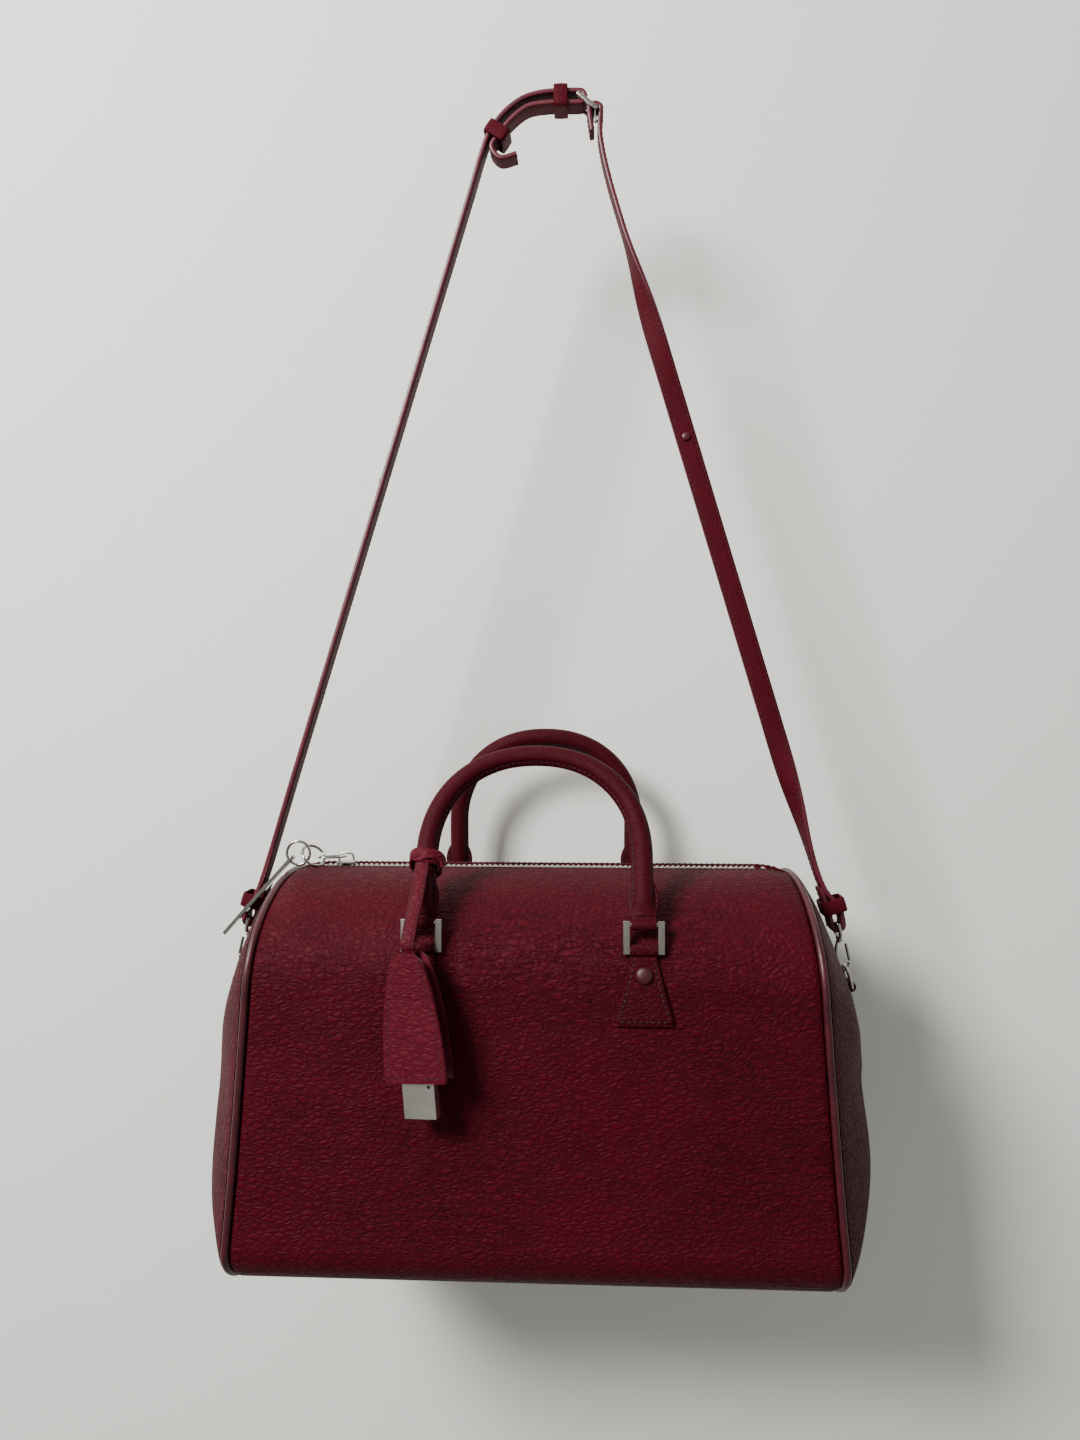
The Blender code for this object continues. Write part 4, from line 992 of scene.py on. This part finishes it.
def dense(points, step=0.0022):
    """Fill long straight stretches with more points."""
    filled = []
    for a, b in zip(points, points[1:]):
        count = max(1, int((b - a).length / step))
        filled += [a.lerp(b, k / count) for k in range(count)]
    return filled + [points[-1]]


def straps():
    leg_top = Vector((-0.0440, 0, -0.0620))
    leg_foot = Vector((-0.1610, 0, -0.4440))
    leg = [leg_foot.lerp(leg_top, k / 6) for k in range(7)]
    knots = list(reversed(fold_knots(-1))) + leg + [Vector((x, 0, z)) for x, z in ARCH]
    for k in range(5):
        angle = math.pi / 2 - math.pi * k / 4
        knots.append(BUCKLE + Vector((FOLD_R * math.cos(angle), 0, FOLD_R * math.sin(angle))))
    knots += [Vector((x, 0, z)) for x, z in TAIL]
    ribbon("strap_long_leather", dense(smooth_path(knots, 6)), None, ["strap_long"])
    leg_foot = Vector((0.1580, 0, -0.4400))
    leg_top = Vector((0.0400, 0, -0.0440))
    leg = [leg_foot.lerp(leg_top, k / 9) for k in range(10)]
    fold = list(reversed(fold_knots(1)))
    knots = fold + leg + [Vector((0.0345, 0, -0.0180)), SHORT_BAR + Vector((FOLD_R, 0, 0))]
    for k in range(1, 5):
        angle = math.pi * k / 4
        knots.append(SHORT_BAR + Vector((FOLD_R * math.cos(angle), 0, FOLD_R * math.sin(angle))))
    knots.append(SHORT_BAR + Vector((-FOLD_R + 0.0016, 0, -0.0120)))
    points = dense(smooth_path(knots, 6))
    low, high = leg_foot.z, leg_top.z

    def twist(i):
        part = (points[i].z - low) / (high - low)
        if points[i].x < 0.03 or part < 0:
            return 0.0
        return math.pi / 2 * (smoothstep(0.02, 0.24, part) - smoothstep(0.72, 0.94, part))

    ribbon("strap_short_leather", points, twist, ["strap_short"])


def keeper(name, centre, along, room):
    """A narrow rounded leather loop."""
    turn = Vector((0, 0, 1)).rotation_difference(along).to_matrix()
    half_x, half_y, corner = room / 2 + 0.0008, STRAP_W / 2 + 0.0013, 0.0016
    points = []
    for quadrant, (sx, sy) in enumerate(((1, 1), (-1, 1), (-1, -1), (1, -1))):
        for k in range(7):
            angle = math.pi / 2 * (quadrant + k / 6)
            spot = Vector((sx * (half_x - corner) + corner * math.cos(angle),
                           sy * (half_y - corner) + corner * math.sin(angle), 0))
            points.append(centre + turn @ spot)
    points = dense(points + [points[0]], 0.0008)[:-1]
    section = [(a * 0.0040, b * 0.0006) for a, b in
               ((-1, 0), (-0.96, 0.8), (-0.86, 1), (0.0, 1.25), (0.86, 1), (0.96, 0.8), (1, 0),
                (0.96, -0.8), (0.86, -1), (-0.86, -1), (-0.96, -0.8))]
    put(sweep(name + "_leather", STRAPS, points, section, turn @ Vector((0, 0, 1)), True, None,
              None, 55), "strap", "smooth_leather", name)


def strap_trim():
    for name, end in (("left", -1), ("right", 1)):
        middle = Vector((end * (HOOK_X - 0.0022), 0, HOOK_Z + 0.0100))
        keeper(f"end_keeper_{name}", middle, Vector((-end * 0.30, 0, 1)).normalized(),
               2 * FOLD_R + STRAP_T + 0.0014)
    keeper("top_keeper_left", Vector((-0.0243, 0, -0.0142)), Vector((0.56, 0, 0.83)), 0.0108)
    keeper("top_keeper_right", Vector((0.0120, 0, 0.0047)), Vector((1, 0, 0)), 0.0104)
    along = SHORT_BAR - BUCKLE
    turn = Vector((1, 0, 0)).rotation_difference(along.normalized()).to_matrix().to_4x4()
    build = bmesh.new()
    for y in (-1, 1):
        box_at(build, (BUCKLE + SHORT_BAR) / 2 + Vector((0, y * 0.0073, 0)),
               (along.length + 0.0030, 0.0017, 0.0023), turn, 0.0006, 3)
    for bar in (BUCKLE, SHORT_BAR):
        rod_at(build, bar, (0, 1, 0), 0.0010, 0.0146, 16)
    put(finish_mesh("buckle_metal", build, NICKEL), "strap", "nickel", "buckle_frame")
    small = [(0.0024, -0.0004), (0.0026, 0.0001), (0.0025, 0.0005), (0.0019, 0.0009),
             (0.0010, 0.00115), (0.0003, 0.0012)]
    for name, centre, out in (
            ("strap_stud_left", Vector((-0.0899, 0, -0.2120)), Vector((-0.956, 0, 0.293))),
            ("strap_stud_right", Vector((0.0830, 0, -0.1886)), Vector((0, -1, 0)))):
        out = out.normalized()
        put(domed(name + "_cap", PIPE, centre + out * (STRAP_T / 2 + GAP), out, small, 20),
            "strap", "smooth_leather", name)


# ---------------------------------------------------------------- hooks and rings at the ends
def snap_hook(name, end):
    """Cast hook: strap frame, swivel post with its collar, and the loop the gate closes."""
    turn = Matrix.Rotation(-end * HOOK_TILT, 4, "Y")
    axis = (down_hook(end, 0) - down_hook(end, 1)).normalized()
    build = bmesh.new()
    outline = [(0.0075, 0.0), (0.0078, 0.0030), (0.0074, 0.0058), (0.0056, 0.0072),
               (0.0020, 0.0076), (0.0, 0.0077), (-0.0020, 0.0076), (-0.0056, 0.0072),
               (-0.0074, 0.0058), (-0.0078, 0.0030), (-0.0075, 0.0)]
    path = smooth_path([down_hook(end, d, 0, y) for y, d in outline], 5)
    side = turn.to_3x3() @ Vector((1, 0, 0))
    skin_rings(build, sweep_rings(path, round_section(0.0011, 12), side))
    rod_at(build, down_hook(end, 0.0), (0, 1, 0), 0.0011, 0.0162, 16)
    rod_at(build, down_hook(end, 0.0085), axis, 0.0016, 0.0030, 18)
    rod_at(build, down_hook(end, 0.0102), axis, 0.0021, 0.0012, 18)
    middle = (LOOP_TOP + LOOP_BOTTOM) / 2
    half = (LOOP_BOTTOM - LOOP_TOP) / 2
    points = []
    for k in range(49):
        angle = math.radians(90 + 240 * k / 48)
        points.append(down_hook(end, middle - half * math.sin(angle), LOOP_HALF * math.cos(angle)))
    last = len(points) - 1

    def swell(i):
        size = 1.0 + 0.18 * math.sin(math.pi * i / last)
        return size, 1.0

    skin_rings(build, sweep_rings(points, round_section(HOOK_WIRE, 12), Vector((0, 1, 0)), False,
                                  None, swell))
    put(finish_mesh(f"snap_hook_{name}_cast", build, NICKEL, 60), "strap", "nickel",
        f"snap_hook_{name}")
    knee = down_hook(end, LOOP_TOP + 0.0018, LOOP_HALF * 0.95)
    tip = down_hook(end, middle + half * 0.42, LOOP_HALF)
    build = bmesh.new()
    path = [knee.lerp(tip, k / 12) for k in range(13)]
    skin_rings(build, sweep_rings(path, round_section(HOOK_WIRE * 0.95, 12), Vector((0, 1, 0))))
    put(finish_mesh(f"hook_gate_{name}_cast", build, BRIGHT, 60), f"gate_{name}", "nickel",
        f"hook_gate_{name}")


def d_ring(name, end):
    bottom = LOOP_BOTTOM - HOOK_WIRE - DRING_WIRE - 0.0004 + DRING_TALL
    points = []
    for k in range(65):
        angle = math.pi * k / 64
        rise = DRING_TALL * max(0.0, math.sin(angle)) ** 0.6
        points.append(down_hook(end, bottom - rise, 0, DRING_HALF * math.cos(angle)))
    points = dense(points + [points[0]], 0.0007)[:-1]
    side = Vector((math.cos(HOOK_TILT) * end, 0, math.sin(HOOK_TILT)))
    put(sweep(f"d_ring_{name}_wire", NICKEL, points, round_section(DRING_WIRE, 14), side, True,
              None, None, 70), f"d_ring_{name}_body", "nickel", f"d_ring_{name}")
    return down_hook(end, bottom)


def gusset_tab(name, end, centre):
    """A leather tab sewn down the gusset and rolled over the ring's bar."""
    drops = [0.0010 + 0.0220 * k / 22 for k in range(23)]
    rings, line = [], []
    for drop in drops:
        height = centre.z - drop - BASE_Z
        reach = 1 - (height - GUSSET_CENTRE_H) / (BODY_HEIGHT - GUSSET_CENTRE_H)
        x = gusset_x(TOP_WIDTH + SEAM, reach) + GAP
        round_off = 1 - 0.35 * smoothstep(0.019, 0.0231, drop)
        low, high = [], []
        for part in (-1, -0.97, -0.9, -0.75, -0.5, 0, 0.5, 0.75, 0.9, 0.97, 1):
            y = part * 0.0062 * round_off
            lift = 0.0022 * (1 - 0.3 * max(0.0, (abs(part) - 0.85) / 0.15) ** 2)
            low.append(Vector((end * (x - GUSSET_CURVE * y * y), y, centre.z - drop)))
            high.append(low[-1] + Vector((end * lift, 0, 0)))
        rings.append(low + list(reversed(high)))
        line.append((Vector((end * (x + 0.0021), 0, centre.z - drop)), round_off))
    build = bmesh.new()
    skin_rings(build, rings)
    wrap = []
    for k in range(25):
        angle = math.radians(lerp(-100, 240, k / 24))
        wrap.append(centre + Vector((end * math.cos(angle), 0, math.sin(angle)))
                    * (DRING_WIRE + 0.0011))
    skin_rings(build, sweep_rings(wrap, flat_section(0.0062, 0.0007), Vector((0, 1, 0))))
    put(finish_mesh(f"gusset_tab_{name}_leather", build, ROLL, 50), "bag", "smooth_leather",
        f"gusset_tab_{name}")
    out = Vector((end, 0, 0))
    build = bmesh.new()
    for part in (-1, 1):
        y = part * 0.0045
        points = [base + Vector((-end * GUSSET_CURVE * y * y, y * size, 0)) for base, size in line[3:-2]]
        stitch_into(build, points, [out] * len(points), 0.0024, 0.00028)
    base, size = line[-3]
    points = []
    for k in range(9):
        y = lerp(-0.0042, 0.0042, k / 8)
        points.append(base + Vector((-end * GUSSET_CURVE * y ** 2, y * size, 0)))
    stitch_into(build, points, [out] * 9, 0.0022, 0.00028)
    put(finish_mesh(f"gusset_tab_{name}_stitching", build, THREAD, 60), "bag", "smooth_leather")


# ---------------------------------------------------------------- slider and its pull
def oval_into(build, centre, turn, half_long, half_wide, wire, steps=72, sides=14):
    points = []
    for k in range(steps):
        angle = math.tau * k / steps
        flat = Vector((half_long * math.cos(angle), half_wide * math.sin(angle), 0))
        points.append(centre + turn @ flat)
    side = turn @ Vector((0, 0, 1))
    skin_rings(build, sweep_rings(points, round_section(wire, sides), side, True), True)


def turned(yaw, lean):
    return Matrix.Rotation(math.radians(yaw), 3, "Z") @ Matrix.Rotation(math.radians(lean), 3, "X")


def slider():
    """Cast slider: a body that tapers at one end, with a bridge that holds the pull."""
    low = TEETH_HIGH + GAP
    high = low + 0.0014
    under = 0.2007 - GAP
    build = bmesh.new()
    outline = [(-0.0052, 0.0030), (-0.0046, 0.0037), (-0.0010, 0.0042), (0.0030, 0.0046),
               (0.0050, 0.0043), (0.0053, 0.0034)]
    for bottom, top, grow in ((low, high, 1.0), (under - 0.0012, under, 0.82)):
        ring = [(x, y * grow) for x, y in outline]
        ring += [(x, -y) for x, y in reversed(ring)]
        rings = []
        for height, size in ((bottom, 0.93), (bottom + 0.0003, 1.0), (top - 0.0004, 1.0),
                             (top, 0.92)):
            rings.append([at(SLIDER_X + x * size, y * size, height) for x, y in ring])
        skin_rings(build, rings)
    box_at(build, at(SLIDER_X, 0, (under + high) / 2), (0.0038, 0.0006, high - under - 0.0006))
    arch = [(-0.0042, high - 0.0003), (-0.0041, high + 0.0022), (-0.0034, high + 0.0038),
            (-0.0018, high + 0.0044), (0.0018, high + 0.0044), (0.0034, high + 0.0038),
            (0.0041, high + 0.0022), (0.0042, high - 0.0003)]
    path = smooth_path([at(SLIDER_X + x, 0, h) for x, h in arch], 4)
    section = [(a * 0.0005, b * 0.0006) for a, b in
               ((-1, -0.6), (-0.7, -1), (0.7, -1), (1, -0.6), (1, 0.6), (0.7, 1), (-0.7, 1),
                (-1, 0.6))]
    skin_rings(build, sweep_rings(path, section, Vector((0, 1, 0))))
    put(finish_mesh("slider_cast", build, NICKEL), "slider", "nickel", "zip_slider")
    build = bmesh.new()
    for end in (-1, 1):
        box_at(build, at(end * (ZIP_END - 0.0015), 0, (TEETH_LOW + TEETH_HIGH) / 2),
               (0.0022, 0.0058, 0.0030), None, 0.0006, 2)
    put(finish_mesh("stops_cast", build, NICKEL), "bag", "nickel", "zip_stop_left",
        "zip_stop_right")


def pull():
    build = bmesh.new()
    oval_into(build, at(SLIDER_X - 0.0077, -0.0021, 0.2101), turned(20, 0), 0.0078, 0.0038, 0.00055)
    put(finish_mesh("pull_link_wire", build, BRIGHT, 80), "pull_chain", "nickel", "pull_link")
    build = bmesh.new()
    oval_into(build, at(SLIDER_X - 0.0172, -0.0080, 0.2115), turned(48, 52), 0.0068, 0.0068, 0.0008)
    put(finish_mesh("pull_ring_small_wire", build, BRIGHT, 80), "pull_chain", "nickel",
        "pull_ring_small")
    large = at(SLIDER_X - 0.0250, -0.0116, 0.2134)
    radius = 0.0066
    build = bmesh.new()
    oval_into(build, large, turned(0, 90), radius, radius, 0.0008)
    put(finish_mesh("pull_ring_large_wire", build, BRIGHT, 80), "pull_chain", "nickel",
        "pull_ring_large")
    slope, held = math.radians(BAR_SLOPE), math.radians(BAR_HELD)
    along = Vector((-math.cos(slope), 0, -math.sin(slope)))
    through = Vector((-math.sin(slope), 0, math.cos(slope)))
    wide = Vector((0, 1, 0))
    hole = large + Vector((math.cos(held), 0, math.sin(held))) * radius
    build = bmesh.new()
    half_w, half_t, length, bore = 0.0028, 0.0010, 0.0600, 0.0016
    sides = 40
    rings = []
    for size, lift in ((1.0, -0.72), (1.0, 0.72), (0.955, 1.0)):
        ring = []
        for k in range(sides):
            angle = math.tau * k / sides
            c, s = math.cos(angle), math.sin(angle)
            reach = 0.0035 if c < 0 else length - 0.0035
            square = max(abs(c), abs(s))
            x = c / square
            y = s / square
            corner = 1 - 0.12 * (min(abs(x), abs(y)) ** 10)
            ring.append(hole + along * (x * corner * reach * (1 - (1 - size) * 0.3))
                        + wide * (y * corner * half_w * size) + through * (lift * half_t))
        rings.append(ring)
    rings.insert(0, [p - through * (0.28 * half_t) for p in rings[0]])
    inner_top = [hole + along * (bore * math.cos(math.tau * k / sides))
                 + wide * (bore * math.sin(math.tau * k / sides)) + through * half_t
                 for k in range(sides)]
    inner_low = [p - through * 2 * half_t for p in inner_top]
    skin_rings(build, [inner_low] + rings + [inner_top], True)
    put(finish_mesh("pull_bar_metal", build, BRIGHT, 35), "pull_bar", "nickel", "pull_bar")


# ---------------------------------------------------------------- key bell
def knot_centre():
    return upper_bar(-1, -1) + Vector((0, math.sin(FRONT_LEAN), math.cos(FRONT_LEAN))) * KNOT_RISE


def clochette():
    """The turns of strap round the handle's leg, the hanging strap, the bell and the padlock."""
    centre = knot_centre()
    up = Vector((0, math.sin(FRONT_LEAN), math.cos(FRONT_LEAN)))
    turn = Vector((0, 0, 1)).rotation_difference(up).to_matrix()
    cord = flat_section(0.0026, 0.00085, lift=0.7)
    build = bmesh.new()
    for tilt, offset, phase, out in ((0.42, 0.0016, -0.5, 0.0), (-0.50, -0.0012, 0.4, 0.0007)):
        points = []
        for k in range(56):
            angle = math.tau * k / 56
            spot = Vector((math.cos(angle), math.sin(angle), 0)) * (HANDLE_R + 0.0017 + out)
            spot.z = offset + tilt * 0.0068 * math.sin(angle + phase)
            points.append(centre + turn @ spot)
        skin_rings(build, sweep_rings(points, cord, up, True), True)
    tail = [(-0.0030, -0.0068, -0.0010), (0.0010, -0.0082, 0.0006), (0.0058, -0.0066, 0.0012),
            (0.0088, -0.0040, -0.0004), (0.0096, -0.0022, -0.0036)]
    path = smooth_path([centre + turn @ Vector(spot) for spot in tail], 6)
    skin_rings(build, sweep_rings(path, cord, up))
    loop = finish_mesh("clochette_turns", build, CHARM, 50)
    put(loop, "front_handle", "smooth_leather", "clochette_loop")
    start = centre + Vector((0, -KNOT_OUT, 0))
    top = at(CLOCHETTE_X, CLOCHETTE_Y, BELL_TOP_H)
    down = bell_tilt().to_3x3() @ Vector((0, 0, -1))
    bend = start.lerp(top, 0.35) + Vector((0, -0.0022, 0))
    knots = [start, bend, top - down * 0.0060, top, top + down * 0.0150, top + down * STRAP_END]
    points = dense(smooth_path(knots, 8), 0.0012)
    section = [(a * 7 / 12, b) for a, b in strap_section(STRAP_W, 0.0028)]
    strap = sweep("clochette_strap_leather", CHARM, points, section, Vector((1, 0, 0)), False, None,
                  None, 60)
    put(strap, "clochette", "smooth_leather", "clochette_strap")
    rows = []
    for part in (-1, 1):
        for face in (-1, 1):
            line, outs = [], []
            for place, (_, level, normal) in zip(points, frames_along(points, Vector((1, 0, 0)))):
                line.append(place + level * part * 0.0025 + normal * face * 0.0013)
                outs.append(normal * face)
            rows.append((line, outs))
    put(stitches("clochette_strap_stitching", rows, 0.0026, 0.00026), "clochette",
        "smooth_leather")
    bell()
    padlock()


def bell_tilt():
    return Matrix.Rotation(math.radians(BELL_TILT), 4, "Y")


def bell_turn():
    middle = at(CLOCHETTE_X, CLOCHETTE_Y, BELL_TOP_H)
    turn = bell_tilt() @ Matrix.Rotation(math.radians(BELL_YAW), 4, "Z")
    return Matrix.Translation(middle) @ turn @ Matrix.Translation(-middle)


def turn_bell(piece):
    """Turn a finished mesh with the bell about its upright middle line."""
    piece.data.transform(bell_turn())
    return piece


def bell_outline():
    tall = BELL_TOP_H - BELL_BOTTOM_H
    outline = []
    for k in range(41):
        share = k / 40
        corner = 1 - 0.34 * (1 - smoothstep(0.0, 0.045, share)) - 0.04 * smoothstep(0.975, 1, share)
        half = (BELL_TOP_HALF + BELL_FLARE * math.sin(math.pi / 2 * share ** 0.75)) * corner
        outline.append((half, BELL_TOP_H - tall * share))
    return outline


def bell():
    """Two thick leather halves, sewn round their sides."""
    for name, side in (("front", -1), ("back", 1)):
        build = bmesh.new()
        inner = CLOCHETTE_Y + side * BELL_HOLLOW
        outline = bell_outline()
        rings = []
        for half, height in outline:
            ring = []
            for part in (-1, -0.5, 0, 0.5, 1):
                ring.append(at(CLOCHETTE_X + part * half, inner, height))
            for part, lift in ((1.0, 0.62), (0.975, 0.9), (0.92, 1.0), (0.84, 0.93), (0.76, 1.0),
                               (0.4, 1.12), (0, 1.16), (-0.4, 1.12), (-0.76, 1.0), (-0.84, 0.93),
                               (-0.92, 1.0), (-0.975, 0.9), (-1.0, 0.62)):
                wave = 0.10 * noise.noise(Vector((part * 2, side, height * 60)))
                swell = lift + wave * (1 - abs(part))
                ring.append(at(CLOCHETTE_X + part * half, inner + side * BELL_SKIN * swell, height))
            rings.append(ring)
        skin_rings(build, rings)
        half = finish_mesh(f"bell_{name}_leather", build, CHARM, 50)
        half.data.materials.append(EDGE)
        for face in half.data.polygons:
            spot = face.center
            if abs(spot.y - inner) < BELL_SKIN * 0.66:
                face.material_index = 1
        put(turn_bell(half), "bell", "smooth_leather", f"bell_{name}")
        build = bmesh.new()
        out = Vector((0, side, 0))
        for part in (-1, 1):
            points = [at(CLOCHETTE_X + part * max(0.001, h - 0.0024), inner + side * BELL_SKIN * 0.9,
                         height) for h, height in outline[2:-1]]
            stitch_into(build, points, [out] * len(points), 0.0027, 0.00028)
        h, height = outline[-2]
        points = [at(CLOCHETTE_X + lerp(-h + 0.003, h - 0.003, k / 12),
                     inner + side * BELL_SKIN * 1.0, height + 0.0010) for k in range(13)]
        stitch_into(build, points, [out] * 13, 0.0027, 0.00028)
        sewn = finish_mesh(f"bell_{name}_stitching", build, THREAD, 60)
        put(turn_bell(sewn), "bell", "smooth_leather")


def padlock():
    tall = PADLOCK_TOP_H - PADLOCK_BOTTOM_H
    build = bmesh.new()
    box_at(build, at(CLOCHETTE_X, CLOCHETTE_Y, PADLOCK_BOTTOM_H + tall / 2),
           (0.0170, 0.0064, tall), None, 0.0009, 3)
    put(turn_bell(finish_mesh("padlock_metal", build, LOCK, 30)), "clochette", "nickel",
        "padlock_body")
    # A thin dark disc where the keyhole is: painted shade; the padlock body has no hole.
    build = bmesh.new()
    rod_at(build, at(CLOCHETTE_X + 0.0058, CLOCHETTE_Y - 0.0032, BELL_BOTTOM_H - 0.0022), (0, 1, 0),
           0.0009, 0.0001, 24, 0.00001)
    put(turn_bell(finish_mesh("padlock_hole", build, KEYHOLE_SHADE, 30)), "clochette", "nickel")
    reach, wire = 0.0025, 0.0008
    points = [at(CLOCHETTE_X, CLOCHETTE_Y - reach, PADLOCK_TOP_H + GAP)]
    points.append(at(CLOCHETTE_X, CLOCHETTE_Y - reach, SHACKLE_H))
    for k in range(25):
        angle = math.pi * k / 24
        points.append(at(CLOCHETTE_X, CLOCHETTE_Y - reach * math.cos(angle),
                         SHACKLE_H + 0.0064 + 0.0010 * math.sin(angle)))
    points.append(at(CLOCHETTE_X, CLOCHETTE_Y + reach, SHACKLE_H))
    points.append(at(CLOCHETTE_X, CLOCHETTE_Y + reach, PADLOCK_TOP_H + GAP))
    points = dense(points, 0.002)
    points = [bell_turn() @ point for point in points]
    put(sweep("shackle_wire", BRIGHT, points, round_section(wire, 14), Vector((1, 0, 0)),
              sharp=70), "clochette", "nickel", "padlock_shackle")


# ---------------------------------------------------------------- studio
def surface(name, points, paint):
    mesh = bpy.data.meshes.new(name)
    mesh.from_pydata(points, [], [tuple(range(len(points)))])
    mesh.materials.append(paint)
    made = bpy.data.objects.new(name, mesh)
    bpy.context.scene.collection.objects.link(made)
    return made


def backdrop_paint(name, colour, see_through):
    """Matt pale paint; seen from behind it lets everything through."""
    paint, tree, shader = new_paint(name)
    fine = noise_value(tree, mapped(tree, (3, 3, 3)), 4.0, 0.6)
    tree.links.new(mix_colour(tree, ramp(tree, fine, 0.3, 0.7), tuple(c * 0.985 for c in colour),
                              colour), shader.inputs["Base Color"])
    shader.inputs["Roughness"].default_value = 0.85
    shader.inputs["Specular IOR Level"].default_value = 0.2
    if see_through:
        clear = tree.nodes.new("ShaderNodeBsdfTransparent")
        back = tree.nodes.new("ShaderNodeNewGeometry")
        pick = tree.nodes.new("ShaderNodeMixShader")
        tree.links.new(back.outputs["Backfacing"], pick.inputs["Fac"])
        tree.links.new(shader.outputs["BSDF"], pick.inputs[1])
        tree.links.new(clear.outputs["BSDF"], pick.inputs[2])
        tree.links.new(pick.outputs["Shader"], tree.nodes["Material Output"].inputs["Surface"])
    return paint


def studio():
    """A pale wall close behind the bag, soft lights, and the camera level with the strap."""
    wall = backdrop_paint("pale wall", (0.86, 0.865, 0.835), True)
    y, wide, low, high = WALL_Y, 2.6, -1.9, 1.5
    surface("wall", [(-wide, y, low), (wide, y, low), (wide, y, high), (-wide, y, high)], wall)
    lights = (
        ("key", (-0.95, -1.25, 0.55), (0, 0, -0.42), 0.55, 60.0, (1.0, 0.985, 0.95)),
        ("fill", (1.3, -1.5, -0.2), (0, 0, -0.45), 1.4, 1.6, (0.96, 0.98, 1.0)),
        ("top", (-0.3, -0.35, 0.9), (0, 0, -0.5), 0.8, 2.0, (1.0, 1.0, 0.97)),
    )
    for name, place, aim, size, power, colour in lights:
        lamp = bpy.data.lights.new(name, "AREA")
        lamp.shape = "SQUARE"
        lamp.size = size
        lamp.energy = power
        lamp.color = colour
        made = bpy.data.objects.new(name, lamp)
        made.location = place
        made.rotation_mode = "QUATERNION"
        made.rotation_quaternion = (Vector(aim) - Vector(place)).to_track_quat("-Z", "Y")
        bpy.context.scene.collection.objects.link(made)
    world = bpy.data.worlds.new("soft room")
    bpy.context.scene.world = world
    world.use_nodes = True
    world.node_tree.nodes["Background"].inputs["Color"].default_value = (1.0, 1.0, 0.94, 1.0)
    world.node_tree.nodes["Background"].inputs["Strength"].default_value = 0.30
    lens = bpy.data.cameras.new("camera")
    lens.lens = CAMERA_LENS
    lens.sensor_width = CAMERA_SENSOR
    lens.clip_start = 0.01
    camera = bpy.data.objects.new("camera", lens)
    camera.location = (CAMERA_AWAY * math.sin(CAMERA_ROUND),
                       -CAMERA_AWAY * math.cos(CAMERA_ROUND), CAMERA_Z)
    camera.rotation_mode = "QUATERNION"
    aim = Vector((0, 0, CAMERA_Z)) - Vector(camera.location)
    camera.rotation_quaternion = aim.to_track_quat("-Z", "Y")
    bpy.context.scene.collection.objects.link(camera)
    bpy.context.scene.camera = camera


def main():
    for name, side in (("front_panel", -1), ("back_panel", 1)):
        body_panel(name, side)
    base()
    zip_tapes()
    zip_teeth()
    slider()
    pull()
    straps()
    strap_trim()
    for name, end in (("left", -1), ("right", 1)):
        gusset(name, end)
        piping(name, end)
        snap_hook(name, end)
        gusset_tab(name, end, d_ring(name, end))
    for side in (-1, 1):
        for end in (-1, 1):
            handle_ring(side, end)
            handle_tab(side, end)
    handle(-1, FRONT_LEAN, FRONT_APEX)
    handle(1, BACK_LEAN, BACK_APEX)
    clochette()
    for name, paint in (("lining", CLOTH), ("base_board", BOARD)):
        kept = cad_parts[name]
        kept.data.materials.clear()
        kept.data.materials.append(paint)
    studio()


main()
